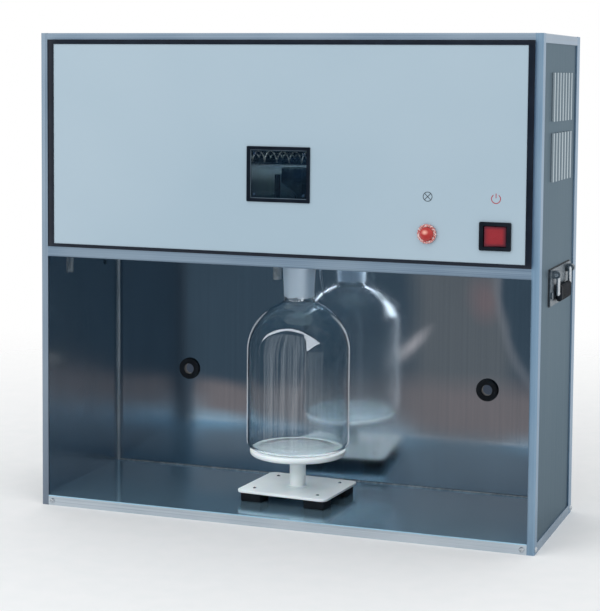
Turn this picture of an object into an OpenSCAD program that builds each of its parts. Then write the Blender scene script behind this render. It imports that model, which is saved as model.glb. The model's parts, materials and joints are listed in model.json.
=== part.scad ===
// Quartz sub-boiling water still in a bench cabinet.
// The upper half is a closed compartment with the quartz boiler behind a small window.
// The lower half is an open bay where the receiving bottle stands under the outlet.
// Front is -Y, +Z is up, and the origin is the centre of the underside.

/* [Cabinet] */
// Overall width
cabinet_w = 560; // [540:1:600]
// Overall depth over the corner angles
cabinet_d = 190; // [184:1:230]
// Overall height
cabinet_h = 526; // [515:1:580]
// Thickness of the side, rear, top and base sheets
sheet_t = 1; // [0.8:0.1:1.5]
// Thickness of the bay floor and of the shelf under the boiler
deck_t = 1.2; // [1:0.1:2]

/* [Aluminium angles] */
// Thickness of every aluminium angle
angle_t = 1.5; // [1.2:0.1:2]
// Outer corner radius of the angles
angle_corner = 1.5; // [1:0.1:2]
// Width of a corner post on the front and on the rear
post_face_w = 8; // [7:0.5:12]
// Width of a front post on the side of the cabinet
front_post_side_w = 12; // [10:0.5:16]
// Width of a rear post on the side of the cabinet
rear_post_side_w = 16; // [12:0.5:20]
// Height of the front and rear top rails
top_rail_face_h = 7; // [6:0.5:10]
// Height of the side top rails
top_rail_side_h = 9.5; // [7:0.5:12]
// Height of the middle rail
mid_rail_h = 11; // [9:0.5:14]
// Height of the base rails
base_rail_h = 10; // [8:0.5:14]
// Depth of the side rail flanges
rail_flange_w = 12; // [10:0.5:16]
// Width of the inward lip along the rear edge of a side panel
side_lip_w = 6; // [4:0.5:10]

/* [Front panel] */
// Thickness of the front panel
front_panel_t = 1.5; // [1:0.1:2.5]
// Thickness of the black border strip
border_t = 0.6; // [0.4:0.1:1]
// Width of the border strip at the two sides
border_side_w = 7; // [5:0.5:10]
// Width of the border strip along the top
border_top_w = 5; // [3:0.5:8]
// Width of the border strip along the bottom
border_bottom_w = 3.5; // [3:0.5:6]

/* [Window] */
// Outer width of the window frame
window_w = 71; // [60:1:90]
// Outer height of the window frame
window_h = 58.5; // [50:0.5:70]
// Height of the window centre over the foot of the middle rail
window_rise = 98; // [90:1:110]
// Width of the frame bar round the glass
window_bar_w = 3.6; // [3:0.1:5]
// How far the frame stands out of the panel
window_proud = 1.2; // [0.8:0.1:2]
// Thickness of the window glass
window_glass_t = 2; // [1.5:0.1:3]
// Diameter of the clamp screws in the corners of the glass
window_screw_d = 3.6; // [3:0.1:4.5]

/* [Pilot lamp] */
// Distance between the lamp and the switch
lamp_to_switch = 71; // [60:1:90]
// Height of the lamp and the switch over the foot of the middle rail
control_rise = 42; // [38:1:50]
// Diameter of the ribbed lens rim
lamp_rim_d = 20.5; // [18:0.5:24]
// Thickness of the lens rim
lamp_rim_t = 3; // [2:0.1:4]
// Diameter of the red dome
lamp_dome_d = 14.5; // [12:0.5:16]
// How far the dome stands out in front of the rim
lamp_dome_h = 5; // [4:0.1:7]
// Number of flutes round the lens rim
lamp_flutes = 20; // [12:1:26]
// Diameter of the lamp body behind the panel
lamp_body_d = 12; // [10:0.5:14]
// Length of the lamp body behind the panel
lamp_body_l = 24; // [16:1:32]

/* [Rocker switch] */
// Distance of the switch from the right side of the cabinet
switch_inset = 46; // [40:1:60]
// Width of the switch bezel
switch_w = 33; // [31:0.5:36]
// Height of the switch bezel
switch_h = 29; // [28:0.5:32]
// Thickness of the switch bezel
switch_bezel_t = 2.2; // [1.5:0.1:3]
// Bezel overlap round the cut-out
switch_overlap = 1.5; // [1:0.1:2]
// Depth of the switch body behind the panel
switch_body_d = 24; // [18:1:32]
// Width of the red rocker
rocker_w = 22.4; // [20:0.1:23]
// Height of the red rocker
rocker_h = 20.5; // [18:0.1:21]
// Tilt of the rocker to each side
rocker_tilt = 8; // [6:0.5:9]
// Radius of the rocker pivot pins
rocker_pin_r = 1.5; // [1.2:0.1:1.8]

/* [Side vents and bay] */
// Louvres in one group
louvre_count = 7; // [5:1:8]
// Pitch of the louvres
louvre_pitch = 14.5; // [12:0.5:16]
// Height of a louvre
louvre_h = 50; // [40:1:54]
// Width of a louvre hood
louvre_w = 7.5; // [6:0.5:9]
// How far a hood stands out of the sheet
louvre_rise = 2.6; // [2:0.1:4]
// Distance of the louvres behind the cabinet centre
louvre_y = 7; // [4:1:10]
// Distance of the centre of the upper louvre group below the top
louvre_drop = 64; // [58:1:68]
// Distance between the centres of the two louvre groups
louvre_group_pitch = 62; // [58:1:68]
// Distance of a hose grommet from the side of the cabinet
grommet_inset = 97; // [70:1:120]
// Height of the rear grommets
grommet_z = 130; // [100:1:180]
// Outer diameter of a grommet
grommet_d = 25.4; // [22:0.2:30]
// Bore of a grommet
grommet_bore = 12; // [8:0.5:14]
// Thickness of a grommet
grommet_t = 8; // [6:0.5:10]

/* [Side handles] */
// Distance of the handle behind the cabinet centre
handle_y = 10; // [0:1:20]
// Distance of the centre of the handle plate below the foot of the middle rail
handle_drop = 14.5; // [12:0.5:24]
// Length of the handle plate
handle_plate_w = 104; // [98:1:120]
// Height of the handle plate
handle_plate_h = 38; // [36:1:46]
// Thickness of the handle plate
handle_plate_t = 1.2; // [1:0.1:2]
// Thickness of the rubber pad under the plate
handle_pad_t = 0.8; // [0.6:0.1:1.5]
// Radius of the bail rod
bail_r = 2; // [1.8:0.1:2.2]
// Distance between the two legs of the bail
bail_w = 60; // [54:1:70]
// Reach of the bail from its pivot
bail_reach = 21; // [20:0.5:22]
// Length of the moulded grip
grip_l = 50; // [40:1:51]
// Thickness of the grip
grip_t = 6.4; // [6:0.1:7]
// Height of the grip
grip_h = 17; // [14:0.5:18]

/* [Boiler] */
// Outer diameter of the quartz boiler
boiler_d = 120; // [110:1:124]
// Length of the quartz boiler
boiler_l = 340; // [330:1:350]
// Height of the boiler axis over the foot of the middle rail
boiler_rise = 105; // [102:1:110]
// Distance of the boiler from the cabinet centre
boiler_x = -20; // [-24:1:-16]
// Wall of the boiler
boiler_wall = 3; // [2:0.1:4]
// Corner radius of the boiler ends
boiler_corner = 20; // [16:1:22]
// Outer diameter of a heater sheath
heater_d = 16; // [15:0.2:17]
// Wall of a heater sheath
heater_wall = 1.2; // [1:0.1:1.5]
// Distance of each heater from the boiler's middle plane
heater_y = 28; // [27:0.5:30]
// Height of the heaters over the boiler axis
heater_rise = 8; // [4:0.5:10]
// Length of a heater sheath
heater_l = 345; // [335:1:350]
// Turns of each resistance coil
coil_turns = 15; // [8:1:16]
// Pitch of the resistance coil
coil_pitch = 14.3; // [12:0.1:14.5]
// Diameter of the resistance wire
coil_wire_d = 1.4; // [1.2:0.1:2]
// Outer diameter of the cold finger
finger_d = 26; // [22:0.5:27]
// Height of the cold finger over the boiler axis
finger_rise = 26; // [24:0.5:26]
// Length of the cold finger
finger_l = 190; // [186:1:196]
// Wall of the thin quartz tubes
tube_wall = 1.2; // [1:0.1:1.5]
// Diameter of the collecting funnel
funnel_d = 40; // [34:1:40]
// Water level over the boiler axis
water_rise = -13; // [-16:1:-10]
// Width of a boiler saddle along the boiler
saddle_w = 18; // [14:1:24]
// Distance between the two saddles
saddle_span = 230; // [200:1:240]
// Distance of the water inlet from the left side of the cabinet
inlet_inset = 18; // [16:1:24]
// Distance of the water inlet behind the front of the cabinet
inlet_back = 33; // [28:1:60]

/* [Receiver] */
// Distance of the receiver from the cabinet centre
receiver_x = -10; // [-10:1:-8]
// Outer diameter of the bottle
bottle_d = 115; // [105:1:120]
// Wall of the bottle
bottle_wall = 2.5; // [2:0.1:3]
// Corner radius round the bottle base
bottle_corner = 11; // [8:0.5:14]
// Height of the bottle
bottle_h = 211; // [200:0.5:230]
// Space between the mouth of the bottle and the middle rail
bottle_headroom = 2.7; // [2.5:0.1:5]
// Height of the ground neck over the shoulder
neck_h = 42; // [38:0.5:46]
// Outer diameter at the foot of the neck
neck_d = 33; // [32:0.2:34]
// Diameter gained per millimetre of neck
neck_taper = 0.1; // [0.06:0.01:0.1]
// Fillet between the shoulder and the neck
neck_fillet = 5; // [4:0.5:6]

/* [Stand] */
// Diameter of the stand disc
disc_d = 107; // [100:1:112]
// Thickness of the stand disc
disc_t = 6.5; // [5:0.5:8]
// Height of the top of the disc over the bay floor
stand_h = 54.8; // [54:0.1:56]
// Diameter of the stand column
column_d = 18; // [16:0.5:24]
// Width of the stand's base plate
stand_plate_w = 108; // [100:1:120]
// Depth of the stand's base plate
stand_plate_d = 95; // [90:1:110]
// Thickness of the stand's base plate
stand_plate_t = 3; // [2.5:0.1:5]
// Corner radius of the base plate
stand_plate_corner = 8; // [5:0.5:12]
// Turn of the stand on the bay floor
stand_turn = -4; // [-6:1:0]
// Side of a rubber foot block
foot_w = 24; // [20:0.5:26]
// Height of a rubber foot block
foot_h = 9.8; // [8:0.1:12]
// Distance of a foot block from the edges of the plate
foot_inset = 4; // [3:0.5:6]

/* [Hidden] */
$fn = 48;
// Clearances
part_gap = 0.3;
pin_gap = 0.05;
glass_gap = 0.05;
cut = 1;

// Cabinet planes
half_w = cabinet_w / 2;
half_d = cabinet_d / 2;
skin_x = half_w - angle_t;
side_in_x = skin_x - sheet_t;
front_in_y = -half_d + angle_t;
rear_out_y = half_d - angle_t;
rear_in_y = rear_out_y - sheet_t;
lip_y = rear_in_y - sheet_t;
top_out_z = cabinet_h - angle_t;
top_in_z = top_out_z - sheet_t;
post_in_x = half_w - post_face_w;
front_rail_y = -half_d + front_post_side_w;
rear_rail_y = half_d - rear_post_side_w;

// Heights, from the floor of the bay up over the bottle to the compartment
floor_z = base_rail_h + deck_t;
stand_floor_z = floor_z + part_gap;
stand_top_z = floor_z + stand_h;
bottle_low_z = stand_top_z + part_gap;
bottle_top_z = bottle_low_z + bottle_h;
mid_rail_z = bottle_top_z + bottle_headroom;
shelf_z = mid_rail_z + angle_t;
shelf_top_z = shelf_z + deck_t;
mid_rail_top_z = mid_rail_z + mid_rail_h;
panel_back_y = front_in_y + front_panel_t;
panel_top_z = cabinet_h - top_rail_face_h;
window_z = mid_rail_z + window_rise;
control_z = mid_rail_z + control_rise;
boiler_z = mid_rail_z + boiler_rise;
handle_z = mid_rail_z - handle_drop;
louvre_upper_z = cabinet_h - louvre_drop;
louvre_lower_z = louvre_upper_z - louvre_group_pitch;

// Window
window_open_w = window_w - 2 * window_bar_w;
window_open_h = window_h - 2 * window_bar_w;
window_spigot = 2;
window_cut_w = window_open_w + 2 * window_spigot;
window_cut_h = window_open_h + 2 * window_spigot;
window_glass_margin = 5;
window_screw_inset = 4;
screw_head_share = 0.35;

// Lamp and switch
switch_x = half_w - switch_inset;
lamp_x = switch_x - lamp_to_switch;
lamp_nut_d = 18;
lamp_nut_t = 3;
lamp_flute_r = 0.9;
switch_body_w = switch_w - 2 * switch_overlap;
switch_body_h = switch_h - 2 * switch_overlap;
rocker_gap = 0.35;
rocker_pin_l = 1.7;
rocker_mid = 2.6;
rocker_rise = rocker_w / 2 * tan(rocker_tilt);
rocker_back = 6;
rocker_back_w = 8;
rocker_y = front_in_y - switch_bezel_t + rocker_mid + 1.4;
rocker_well = rocker_back + 2;
terminal_w = 6.3;
terminal_l = 8;
terminal_t = 0.8;
terminal_x = [-8, 8];
terminal_z = [-6, 6];

// Fasteners
rail_screw_d = 6;
rail_screw_h = 2.2;
rail_screw_shank_r = 1.5;
rail_screw_l = 4;
rail_screw_inset = 13;
rail_screw_z = base_rail_h / 2;
side_screw_inset = 6;

// Grommets
grommet_x = half_w - grommet_inset;
grommet_neck_r = grommet_d / 2 - 3;
grommet_edge = 2.4;
shelf_grommet_y = 55;

// Cord gland
gland_inset = 45;
gland_rise = 40;
gland_x = half_w - gland_inset;
gland_z = mid_rail_z + gland_rise;
gland_bore_r = 4.5;
gland_thread_r = 8;
gland_hex_r = 12;
gland_hex_t = 5;
gland_cap_r = 10;
gland_cap_l = 13;
gland_nut_t = 4;

// Handles
handle_skin_x = skin_x + handle_pad_t + handle_plate_t;
handle_pad_edge = 0.8;
bail_x = handle_skin_x + part_gap + grip_t / 2;
bail_z = handle_z + handle_plate_h / 2 - 6;
ear_t = 7;
ear_r = bail_r + 2;
ear_gap = 0.5;
ear_y = bail_w / 2 + bail_r + ear_gap;
grip_rib_count = 6;
grip_rib_w = 3;
grip_rib_rise = 0.7;
handle_rivet_r = 2.5;
handle_rivet_h = 1.2;

// Boiler and its tubes
boiler_r = boiler_d / 2;
boiler_left_x = boiler_x - boiler_l / 2;
boiler_right_x = boiler_x + boiler_l / 2;
boiler_low_z = boiler_z - boiler_r;
heater_r = heater_d / 2;
heater_z = boiler_z + heater_rise;
heater_out = 24;
heater_left_x = boiler_left_x - heater_out;
coil_in_r = heater_r - heater_wall - 0.2 - coil_wire_d / 2;
coil_inset = 95;
coil_left_x = heater_left_x + coil_inset;
coil_rings = 24;
coil_sides = 6;
heater_cap_r = heater_r + 2;
heater_cap_l = 16;
heater_cap_grip = 8;
heater_stud_r = 2;
heater_stud_l = 8;
finger_r = finger_d / 2;
finger_z = boiler_z + finger_rise;
finger_tip_x = receiver_x - 4;
finger_end_x = finger_tip_x + finger_l;
feed_tube_r = 4;
feed_tube_clear = 14;
feed_tube_l = finger_l + 10;
barb_r = 4.8;
barb_l = 5;
side_barb_l = 16;
side_barb_back = 9;
drip_nib_l = 7;
funnel_r = funnel_d / 2;
funnel_z = boiler_z - 5;
funnel_wall_h = 16;
funnel_cone_h = 14;
stem_r = 5;
overflow_x = receiver_x - 26;
overflow_r = 3.2;
overflow_end_z = mid_rail_z - 18;
sleeve_r = 4.7;
sleeve_low_z = mid_rail_z - 25;
sleeve_top_z = mid_rail_z - 2;
feed_port_inset = 30;
feed_port_x = boiler_left_x + feed_port_inset;
feed_port_low_z = shelf_top_z + 16;
feed_port_top_z = boiler_low_z + 20;
vent_x = receiver_x + 24;
vent_y = 3;
vent_r = 1.6;
vent_bend_z = mid_rail_z - 18;
vent_tip_l = 30;
vent_tip_r = 0.7;
vent_lean = 10;
inlet_x = -half_w + inlet_inset;
inlet_y = -half_d + inlet_back;
inlet_low_z = mid_rail_z - 21;
inlet_top_z = shelf_top_z + 26;
inlet_flange_r = 7.5;
inlet_flange_t = 2.5;
outlet_bush_r = 9;
outlet_bush_flange_r = 12;
outlet_bush_flange_t = 2;
saddle_d = 84;
saddle_rise = 24;
saddle_gap = 0.1;
saddle_arch_r = 16;
block_inset = 35.5;
block_x = -side_in_x + block_inset;
block_w = 30;
block_d = 64;
block_h = 18;
block_ways = 4;

// Receiver
bottle_r = bottle_d / 2;
neck_low_z = bottle_top_z - neck_h;
neck_r = neck_d / 2;
neck_top_r = neck_r + neck_h * neck_taper / 2;
dome_z = neck_low_z - sqrt(pow(bottle_r + neck_fillet, 2) - pow(neck_r + neck_fillet, 2));
outlet_tip_z = bottle_top_z + 1.2;

// Stand
foot_z = stand_floor_z;
stand_plate_z = foot_z + foot_h;
stand_plate_top_z = stand_plate_z + stand_plate_t;
stand_screw_d = 4;
stand_screw_h = 1.2;
stand_screw_inset = foot_inset + foot_w / 2;
column_flange_r = 14;
column_flange_t = 2.5;
disc_edge = 1.5;

// Runs a Y-Z outline along X, centred
module along_x(length) {
    translate([-length / 2, 0, 0])
        rotate([90, 0, 90])
            linear_extrude(length)
                children();
}

// Runs an X-Z outline along Y, from y_low to y_high
module along_y(y_low, y_high) {
    translate([0, y_high, 0])
        rotate([90, 0, 0])
            linear_extrude(y_high - y_low)
                children();
}

// Turns a shape made along +Z so that it points out of the front
module face_front(x, y, z) {
    translate([x, y, z])
        rotate([90, 0, 0])
            children();
}

// Puts a shape at the right, or its mirror image at the left
module at_side(side) {
    mirror([side < 0 ? 1 : 0, 0, 0])
        children();
}

// A box between two corners
module span(low, high) {
    translate(low)
        cube(high - low);
}

// Outline of an angle bar with its outer corner at the origin
module angle_outline(wide, deep) {
    intersection() {
        difference() {
            square([wide, deep]);
            translate([angle_t, angle_t])
                square([wide, deep]);
        }
        union() {
            translate([angle_corner, angle_corner])
                circle(angle_corner);
            translate([angle_corner, 0])
                square([wide, deep]);
            translate([0, angle_corner])
                square([wide, deep]);
        }
    }
}

// Outline of a rectangle with round corners, centred
module round_rect(wide, deep, corner) {
    square([wide - 2 * corner, deep], center = true);
    square([wide, deep - 2 * corner], center = true);
    for (sx = [-1, 1], sy = [-1, 1])
        translate([sx * (wide / 2 - corner), sy * (deep / 2 - corner)])
            circle(corner);
}

// A tube along +Z
module tube(outer_r, inner_r, length) {
    difference() {
        cylinder(r = outer_r, h = length);
        translate([0, 0, -cut])
            cylinder(r = inner_r, h = length + 2 * cut);
    }
}

// A domed screw head with its shank, pointing out along +Z
module dome_screw(head_d, head_h, shank_r, shank_l) {
    ball_r = (pow(head_d / 2, 2) + pow(head_h, 2)) / (2 * head_h);
    intersection() {
        translate([0, 0, head_h - ball_r])
            sphere(ball_r);
        cylinder(d = head_d + cut, h = head_h);
    }
    translate([0, 0, -shank_l])
        cylinder(r = shank_r, h = shank_l);
}

/* Aluminium frame */

module post(side, end, side_w) {
    color("lightsteelblue")
        at_side(side)
            mirror([0, end > 0 ? 1 : 0, 0])
                translate([half_w, -half_d, 0])
                    mirror([1, 0, 0])
                        difference() {
                            linear_extrude(cabinet_h)
                                angle_outline(post_face_w, side_w);
                            post_screw_holes();
                        }
}

// The base rail screws pass beside the posts, so a post only clears their heads
module post_screw_holes() {
    translate([-cut, side_screw_inset, rail_screw_z])
        rotate([0, 90, 0])
            cylinder(r = rail_screw_shank_r + pin_gap, h = angle_t + 2 * cut);
}

module top_rail(end, side_w) {
    flange_y = half_d - side_w;
    color("lightsteelblue")
        mirror([0, end > 0 ? 1 : 0, 0]) {
            along_x(2 * post_in_x)
                translate([-half_d, cabinet_h])
                    mirror([0, 1])
                        angle_outline(side_w, top_rail_face_h);
            span([-skin_x, front_in_y, top_out_z], [skin_x, -flange_y, cabinet_h]);
        }
}

module side_top_rail(side) {
    color("lightsteelblue")
        at_side(side)
            along_y(front_rail_y, rear_rail_y)
                translate([half_w, cabinet_h])
                    mirror([1, 0])
                        mirror([0, 1])
                            angle_outline(rail_flange_w, top_rail_side_h);
}

module mid_rail() {
    color("lightsteelblue")
        along_x(2 * post_in_x) {
            translate([-half_d, mid_rail_z])
                square([angle_t, mid_rail_h]);
            translate([front_in_y, mid_rail_z])
                square([rail_flange_w, angle_t]);
        }
}

// Channel outline with its outer foot at the origin and its flanges along +X
module channel_outline(flange) {
    square([angle_t, base_rail_h]);
    translate([0, base_rail_h - angle_t])
        square([flange, angle_t]);
    translate([0, sheet_t])
        square([flange, angle_t]);
}

module base_rail(end, flange) {
    flange_y = half_d - flange;
    color("lightsteelblue")
        mirror([0, end > 0 ? 1 : 0, 0])
            difference() {
                union() {
                    along_x(2 * post_in_x)
                        translate([-half_d, 0])
                            channel_outline(flange);
                    for (z = [sheet_t, base_rail_h - angle_t])
                        span([-skin_x, front_in_y, z], [skin_x, -flange_y, z + angle_t]);
                }
                for (side = [-1, 1])
                    face_front(side * (half_w - rail_screw_inset), front_in_y + cut, rail_screw_z)
                        cylinder(r = rail_screw_shank_r + pin_gap, h = angle_t + 2 * cut);
            }
}

module side_base_rail(side) {
    color("lightsteelblue")
        at_side(side)
            along_y(front_rail_y, rear_rail_y)
                translate([half_w, 0])
                    mirror([1, 0])
                        channel_outline(rail_flange_w);
}

/* Sheet metal */

module top_panel() {
    color("slategray")
        span([-side_in_x, front_in_y, top_in_z], [side_in_x, rear_out_y, top_out_z]);
}

// Places of the louvres on the side sheet
module louvre_places() {
    for (z = [louvre_upper_z, louvre_lower_z], i = [0 : louvre_count - 1])
        translate([skin_x, louvre_y + (i - (louvre_count - 1) / 2) * louvre_pitch, z])
            children();
}

// A pressed hood: a quarter round sheet that opens to the rear, with closed ends
module louvre_hood() {
    linear_extrude(louvre_h, center = true)
        hood_outline(0);
    for (end = [-1, 1])
        translate([0, 0, end * (louvre_h - sheet_t) / 2])
            linear_extrude(sheet_t, center = true)
                hood_outline(louvre_rise);
}

// Outline of a hood, with its web filled to a depth for the closed ends
module hood_outline(fill) {
    bend_r = louvre_rise;
    difference() {
        union() {
            translate([0, -louvre_w / 2 + bend_r])
                circle(bend_r);
            translate([0, -louvre_w / 2 + bend_r])
                square([louvre_rise, louvre_w - bend_r]);
        }
        translate([-2 * bend_r, -louvre_w])
            square([2 * bend_r, 2 * louvre_w]);
        if (fill == 0) {
            translate([0, -louvre_w / 2 + bend_r])
                circle(bend_r - sheet_t * 0.7);
            translate([-cut, -louvre_w / 2 + bend_r])
                square([louvre_rise - sheet_t * 0.7 + cut, louvre_w]);
        }
    }
}

module side_panel(side) {
    color("slategray")
        at_side(side)
            difference() {
                union() {
                    span([side_in_x, front_in_y, base_rail_h], [skin_x, rear_out_y, top_out_z]);
                    span([side_in_x - side_lip_w, lip_y, base_rail_h], [side_in_x, rear_in_y, top_in_z]);
                    louvre_places()
                        louvre_hood();
                }
                louvre_places()
                    span([-sheet_t - cut, -louvre_w / 2 + louvre_rise, -louvre_h / 2 + sheet_t],
                         [0, louvre_w / 2, louvre_h / 2 - sheet_t]);
                handle_rivet_places()
                    cylinder(r = handle_rivet_r + pin_gap, h = 8 * sheet_t, center = true);
            }
}

module rear_panel() {
    color("slategray")
        difference() {
            span([-side_in_x, rear_in_y, base_rail_h], [side_in_x, rear_out_y, top_in_z]);
            for (side = [-1, 1])
                face_front(side * grommet_x, rear_out_y + cut, grommet_z)
                    cylinder(r = grommet_neck_r, h = sheet_t + 2 * cut);
            face_front(gland_x, rear_out_y + cut, gland_z)
                cylinder(r = gland_thread_r + pin_gap, h = sheet_t + 2 * cut);
        }
}

module base_plate() {
    color("dimgray")
        span([-skin_x, front_in_y, 0], [skin_x, rear_out_y, sheet_t]);
}

module bay_floor() {
    color("slategray") {
        span([-side_in_x, front_in_y, base_rail_h], [side_in_x, lip_y, floor_z]);
        span([-post_in_x, -half_d, base_rail_h], [post_in_x, front_in_y, floor_z]);
    }
}

module boiler_shelf() {
    color("slategray")
        difference() {
            span([-side_in_x, panel_back_y, shelf_z], [side_in_x, lip_y, shelf_top_z]);
            shelf_hole(receiver_x, 0, outlet_bush_r);
            shelf_hole(overflow_x, 0, overflow_r + pin_gap);
            shelf_hole(vent_x, vent_y, vent_r + pin_gap);
            shelf_hole(inlet_x, inlet_y, feed_tube_r + pin_gap);
            for (side = [-1, 1])
                shelf_hole(side * grommet_x, shelf_grommet_y, grommet_neck_r);
        }
}

module shelf_hole(x, y, r) {
    translate([x, y, shelf_z - cut])
        cylinder(r = r, h = deck_t + 2 * cut);
}

/* Front panel and its fittings */

module front_panel() {
    color("lightsteelblue")
        difference() {
            span([-side_in_x, front_in_y, shelf_z], [side_in_x, panel_back_y, top_in_z]);
            translate([0, panel_back_y, window_z])
                cube([window_cut_w, 4 * front_panel_t, window_cut_h], center = true);
            face_front(lamp_x, panel_back_y + cut, control_z)
                cylinder(d = lamp_body_d, h = front_panel_t + 2 * cut);
            translate([switch_x, panel_back_y, control_z])
                cube([switch_body_w, 4 * front_panel_t, switch_body_h], center = true);
        }
}

module panel_border() {
    color("black")
        difference() {
            span([-post_in_x, front_in_y - border_t, mid_rail_top_z], [post_in_x, front_in_y, panel_top_z]);
            span([-post_in_x + border_side_w, -half_d, mid_rail_top_z + border_bottom_w],
                 [post_in_x - border_side_w, front_in_y + cut, panel_top_z - border_top_w]);
        }
}

module window_frame() {
    color("black")
        difference() {
            union() {
                translate([0, front_in_y, window_z])
                    rotate([90, 0, 0])
                        linear_extrude(window_proud)
                            round_rect(window_w, window_h, 1);
                translate([0, panel_back_y, window_z])
                    rotate([90, 0, 0])
                        linear_extrude(front_panel_t)
                            square([window_cut_w, window_cut_h], center = true);
            }
            translate([0, panel_back_y, window_z])
                cube([window_open_w, 8 * front_panel_t, window_open_h], center = true);
        }
}

module window_glass() {
    color("lightcyan", 0.4)
        difference() {
            translate([0, panel_back_y + window_glass_t, window_z])
                rotate([90, 0, 0])
                    linear_extrude(window_glass_t)
                        round_rect(window_cut_w + 2 * window_glass_margin,
                                   window_cut_h + 2 * window_glass_margin, 3);
            window_screw_places()
                cylinder(d = window_screw_d / 2 + 2 * pin_gap, h = 4 * window_glass_t, center = true);
        }
}

// Clamp screws show inside the opening, near its corners
module window_screw_places() {
    for (sx = [-1, 1], sz = [-1, 1])
        face_front(sx * (window_open_w / 2 - window_screw_inset), panel_back_y,
                   window_z + sz * (window_open_h / 2 - window_screw_inset))
            children();
}

module window_screws() {
    color("silver")
        window_screw_places()
            dome_screw(window_screw_d, window_screw_d * screw_head_share,
                       window_screw_d / 4, window_glass_t + 1);
}

module lamp_lens() {
    color("tomato")
        face_front(lamp_x, front_in_y, control_z)
            difference() {
                rotate_extrude()
                    lamp_outline();
                for (i = [0 : lamp_flutes - 1])
                    rotate([0, 0, (i + 0.5) * 360 / lamp_flutes])
                        translate([lamp_rim_d / 2, 0, -cut])
                            cylinder(r = lamp_flute_r, h = lamp_rim_t + 2 * cut);
            }
}

// Half outline of the rim with the cap of a sphere over a short step
module lamp_outline() {
    step_h = 1;
    cap_h = lamp_dome_h - step_h;
    cap_r = lamp_dome_d / 2 - 0.4;
    ball_r = (pow(cap_r, 2) + pow(cap_h, 2)) / (2 * cap_h);
    square([lamp_rim_d / 2, lamp_rim_t]);
    square([lamp_dome_d / 2, lamp_rim_t + step_h]);
    translate([0, lamp_rim_t + step_h])
        intersection() {
            translate([0, cap_h - ball_r])
                circle(ball_r, $fn = 96);
            square([lamp_dome_d / 2, cap_h]);
        }
}

module lamp_body() {
    color("dimgray")
        face_front(lamp_x, front_in_y, control_z)
            union() {
                translate([0, 0, -lamp_body_l])
                    cylinder(d = lamp_body_d, h = lamp_body_l);
                translate([0, 0, -front_panel_t - lamp_nut_t])
                    cylinder(d = lamp_nut_d, h = lamp_nut_t, $fn = 6);
            }
}

module switch_housing() {
    color("black")
        translate([switch_x, 0, control_z])
            difference() {
                union() {
                    translate([0, front_in_y, 0])
                        rotate([90, 0, 0])
                            linear_extrude(switch_bezel_t)
                                round_rect(switch_w, switch_h, 1.5);
                    span([-switch_body_w / 2, front_in_y, -switch_body_h / 2],
                         [switch_body_w / 2, front_in_y + switch_body_d, switch_body_h / 2]);
                    for (x = terminal_x, z = terminal_z)
                        translate([x, front_in_y + switch_body_d, z])
                            span([-terminal_w / 2, 0, -terminal_t / 2],
                                 [terminal_w / 2, terminal_l, terminal_t / 2]);
                }
                span([-rocker_w / 2 - 2 * rocker_gap, -half_d - switch_bezel_t, -rocker_h / 2 - rocker_gap],
                     [rocker_w / 2 + 2 * rocker_gap, rocker_y + rocker_well, rocker_h / 2 + rocker_gap]);
                translate([0, rocker_y, 0])
                    cylinder(r = rocker_pin_r + pin_gap,
                             h = rocker_h + 2 * (rocker_pin_l + part_gap), center = true);
            }
}

// The two halves of the face slope by the tilt, so the pressed half lies flush
module switch_rocker() {
    color("red")
        translate([switch_x, rocker_y, control_z])
            rotate([0, 0, rocker_tilt]) {
                linear_extrude(rocker_h, center = true)
                    polygon([
                        [-rocker_w / 2, -rocker_mid - rocker_rise],
                        [0, -rocker_mid],
                        [rocker_w / 2, -rocker_mid - rocker_rise],
                        [rocker_w / 2, 1],
                        [rocker_back_w / 2, rocker_back],
                        [-rocker_back_w / 2, rocker_back],
                        [-rocker_w / 2, 1]
                    ]);
                cylinder(r = rocker_pin_r, h = rocker_h + 2 * rocker_pin_l, center = true);
            }
}

/* Small fittings */

// A rubber grommet along +Z, with its groove round a sheet at z = 0 to sheet
module grommet(sheet) {
    flange_t = (grommet_t - sheet) / 2;
    difference() {
        union() {
            for (z = [-flange_t, sheet])
                translate([0, 0, z])
                    grommet_flange(flange_t);
            cylinder(r = grommet_neck_r, h = sheet);
        }
        translate([0, 0, -grommet_t])
            cylinder(d = grommet_bore, h = 3 * grommet_t);
    }
}

module grommet_flange(thick) {
    rotate_extrude()
        translate([0, thick / 2])
            union() {
                translate([grommet_d / 4 - grommet_edge / 2, 0])
                    square([grommet_d / 2 - grommet_edge, thick], center = true);
                translate([0, -(thick - grommet_edge) / 2])
                    square([grommet_d / 2, thick - grommet_edge]);
                for (end = [-1, 1])
                    translate([grommet_d / 2 - grommet_edge / 2, end * (thick - grommet_edge) / 2])
                        circle(grommet_edge / 2);
            }
}

module grommets() {
    color("black") {
        for (side = [-1, 1]) {
            face_front(side * grommet_x, rear_out_y, grommet_z)
                grommet(sheet_t);
            translate([side * grommet_x, shelf_grommet_y, shelf_z])
                grommet(deck_t);
        }
    }
}

module cord_gland() {
    color("black")
        translate([gland_x, rear_out_y, gland_z])
            rotate([-90, 0, 0])
                difference() {
                    union() {
                        cylinder(r = gland_hex_r, h = gland_hex_t, $fn = 6);
                        cylinder(r = gland_cap_r, h = gland_hex_t + gland_cap_l - 3);
                        translate([0, 0, gland_hex_t + gland_cap_l - 3])
                            cylinder(r1 = gland_cap_r, r2 = gland_bore_r + 2, h = 3);
                        translate([0, 0, -sheet_t - gland_nut_t - 2])
                            cylinder(r = gland_thread_r, h = sheet_t + gland_nut_t + 2);
                        translate([0, 0, -sheet_t - gland_nut_t])
                            cylinder(r = gland_hex_r, h = gland_nut_t, $fn = 6);
                    }
                    translate([0, 0, -2 * gland_cap_l])
                        cylinder(r = gland_bore_r, h = 4 * gland_cap_l);
                }
}

module rail_screw() {
    dome_screw(rail_screw_d, rail_screw_h, rail_screw_shank_r, rail_screw_l);
}

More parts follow.
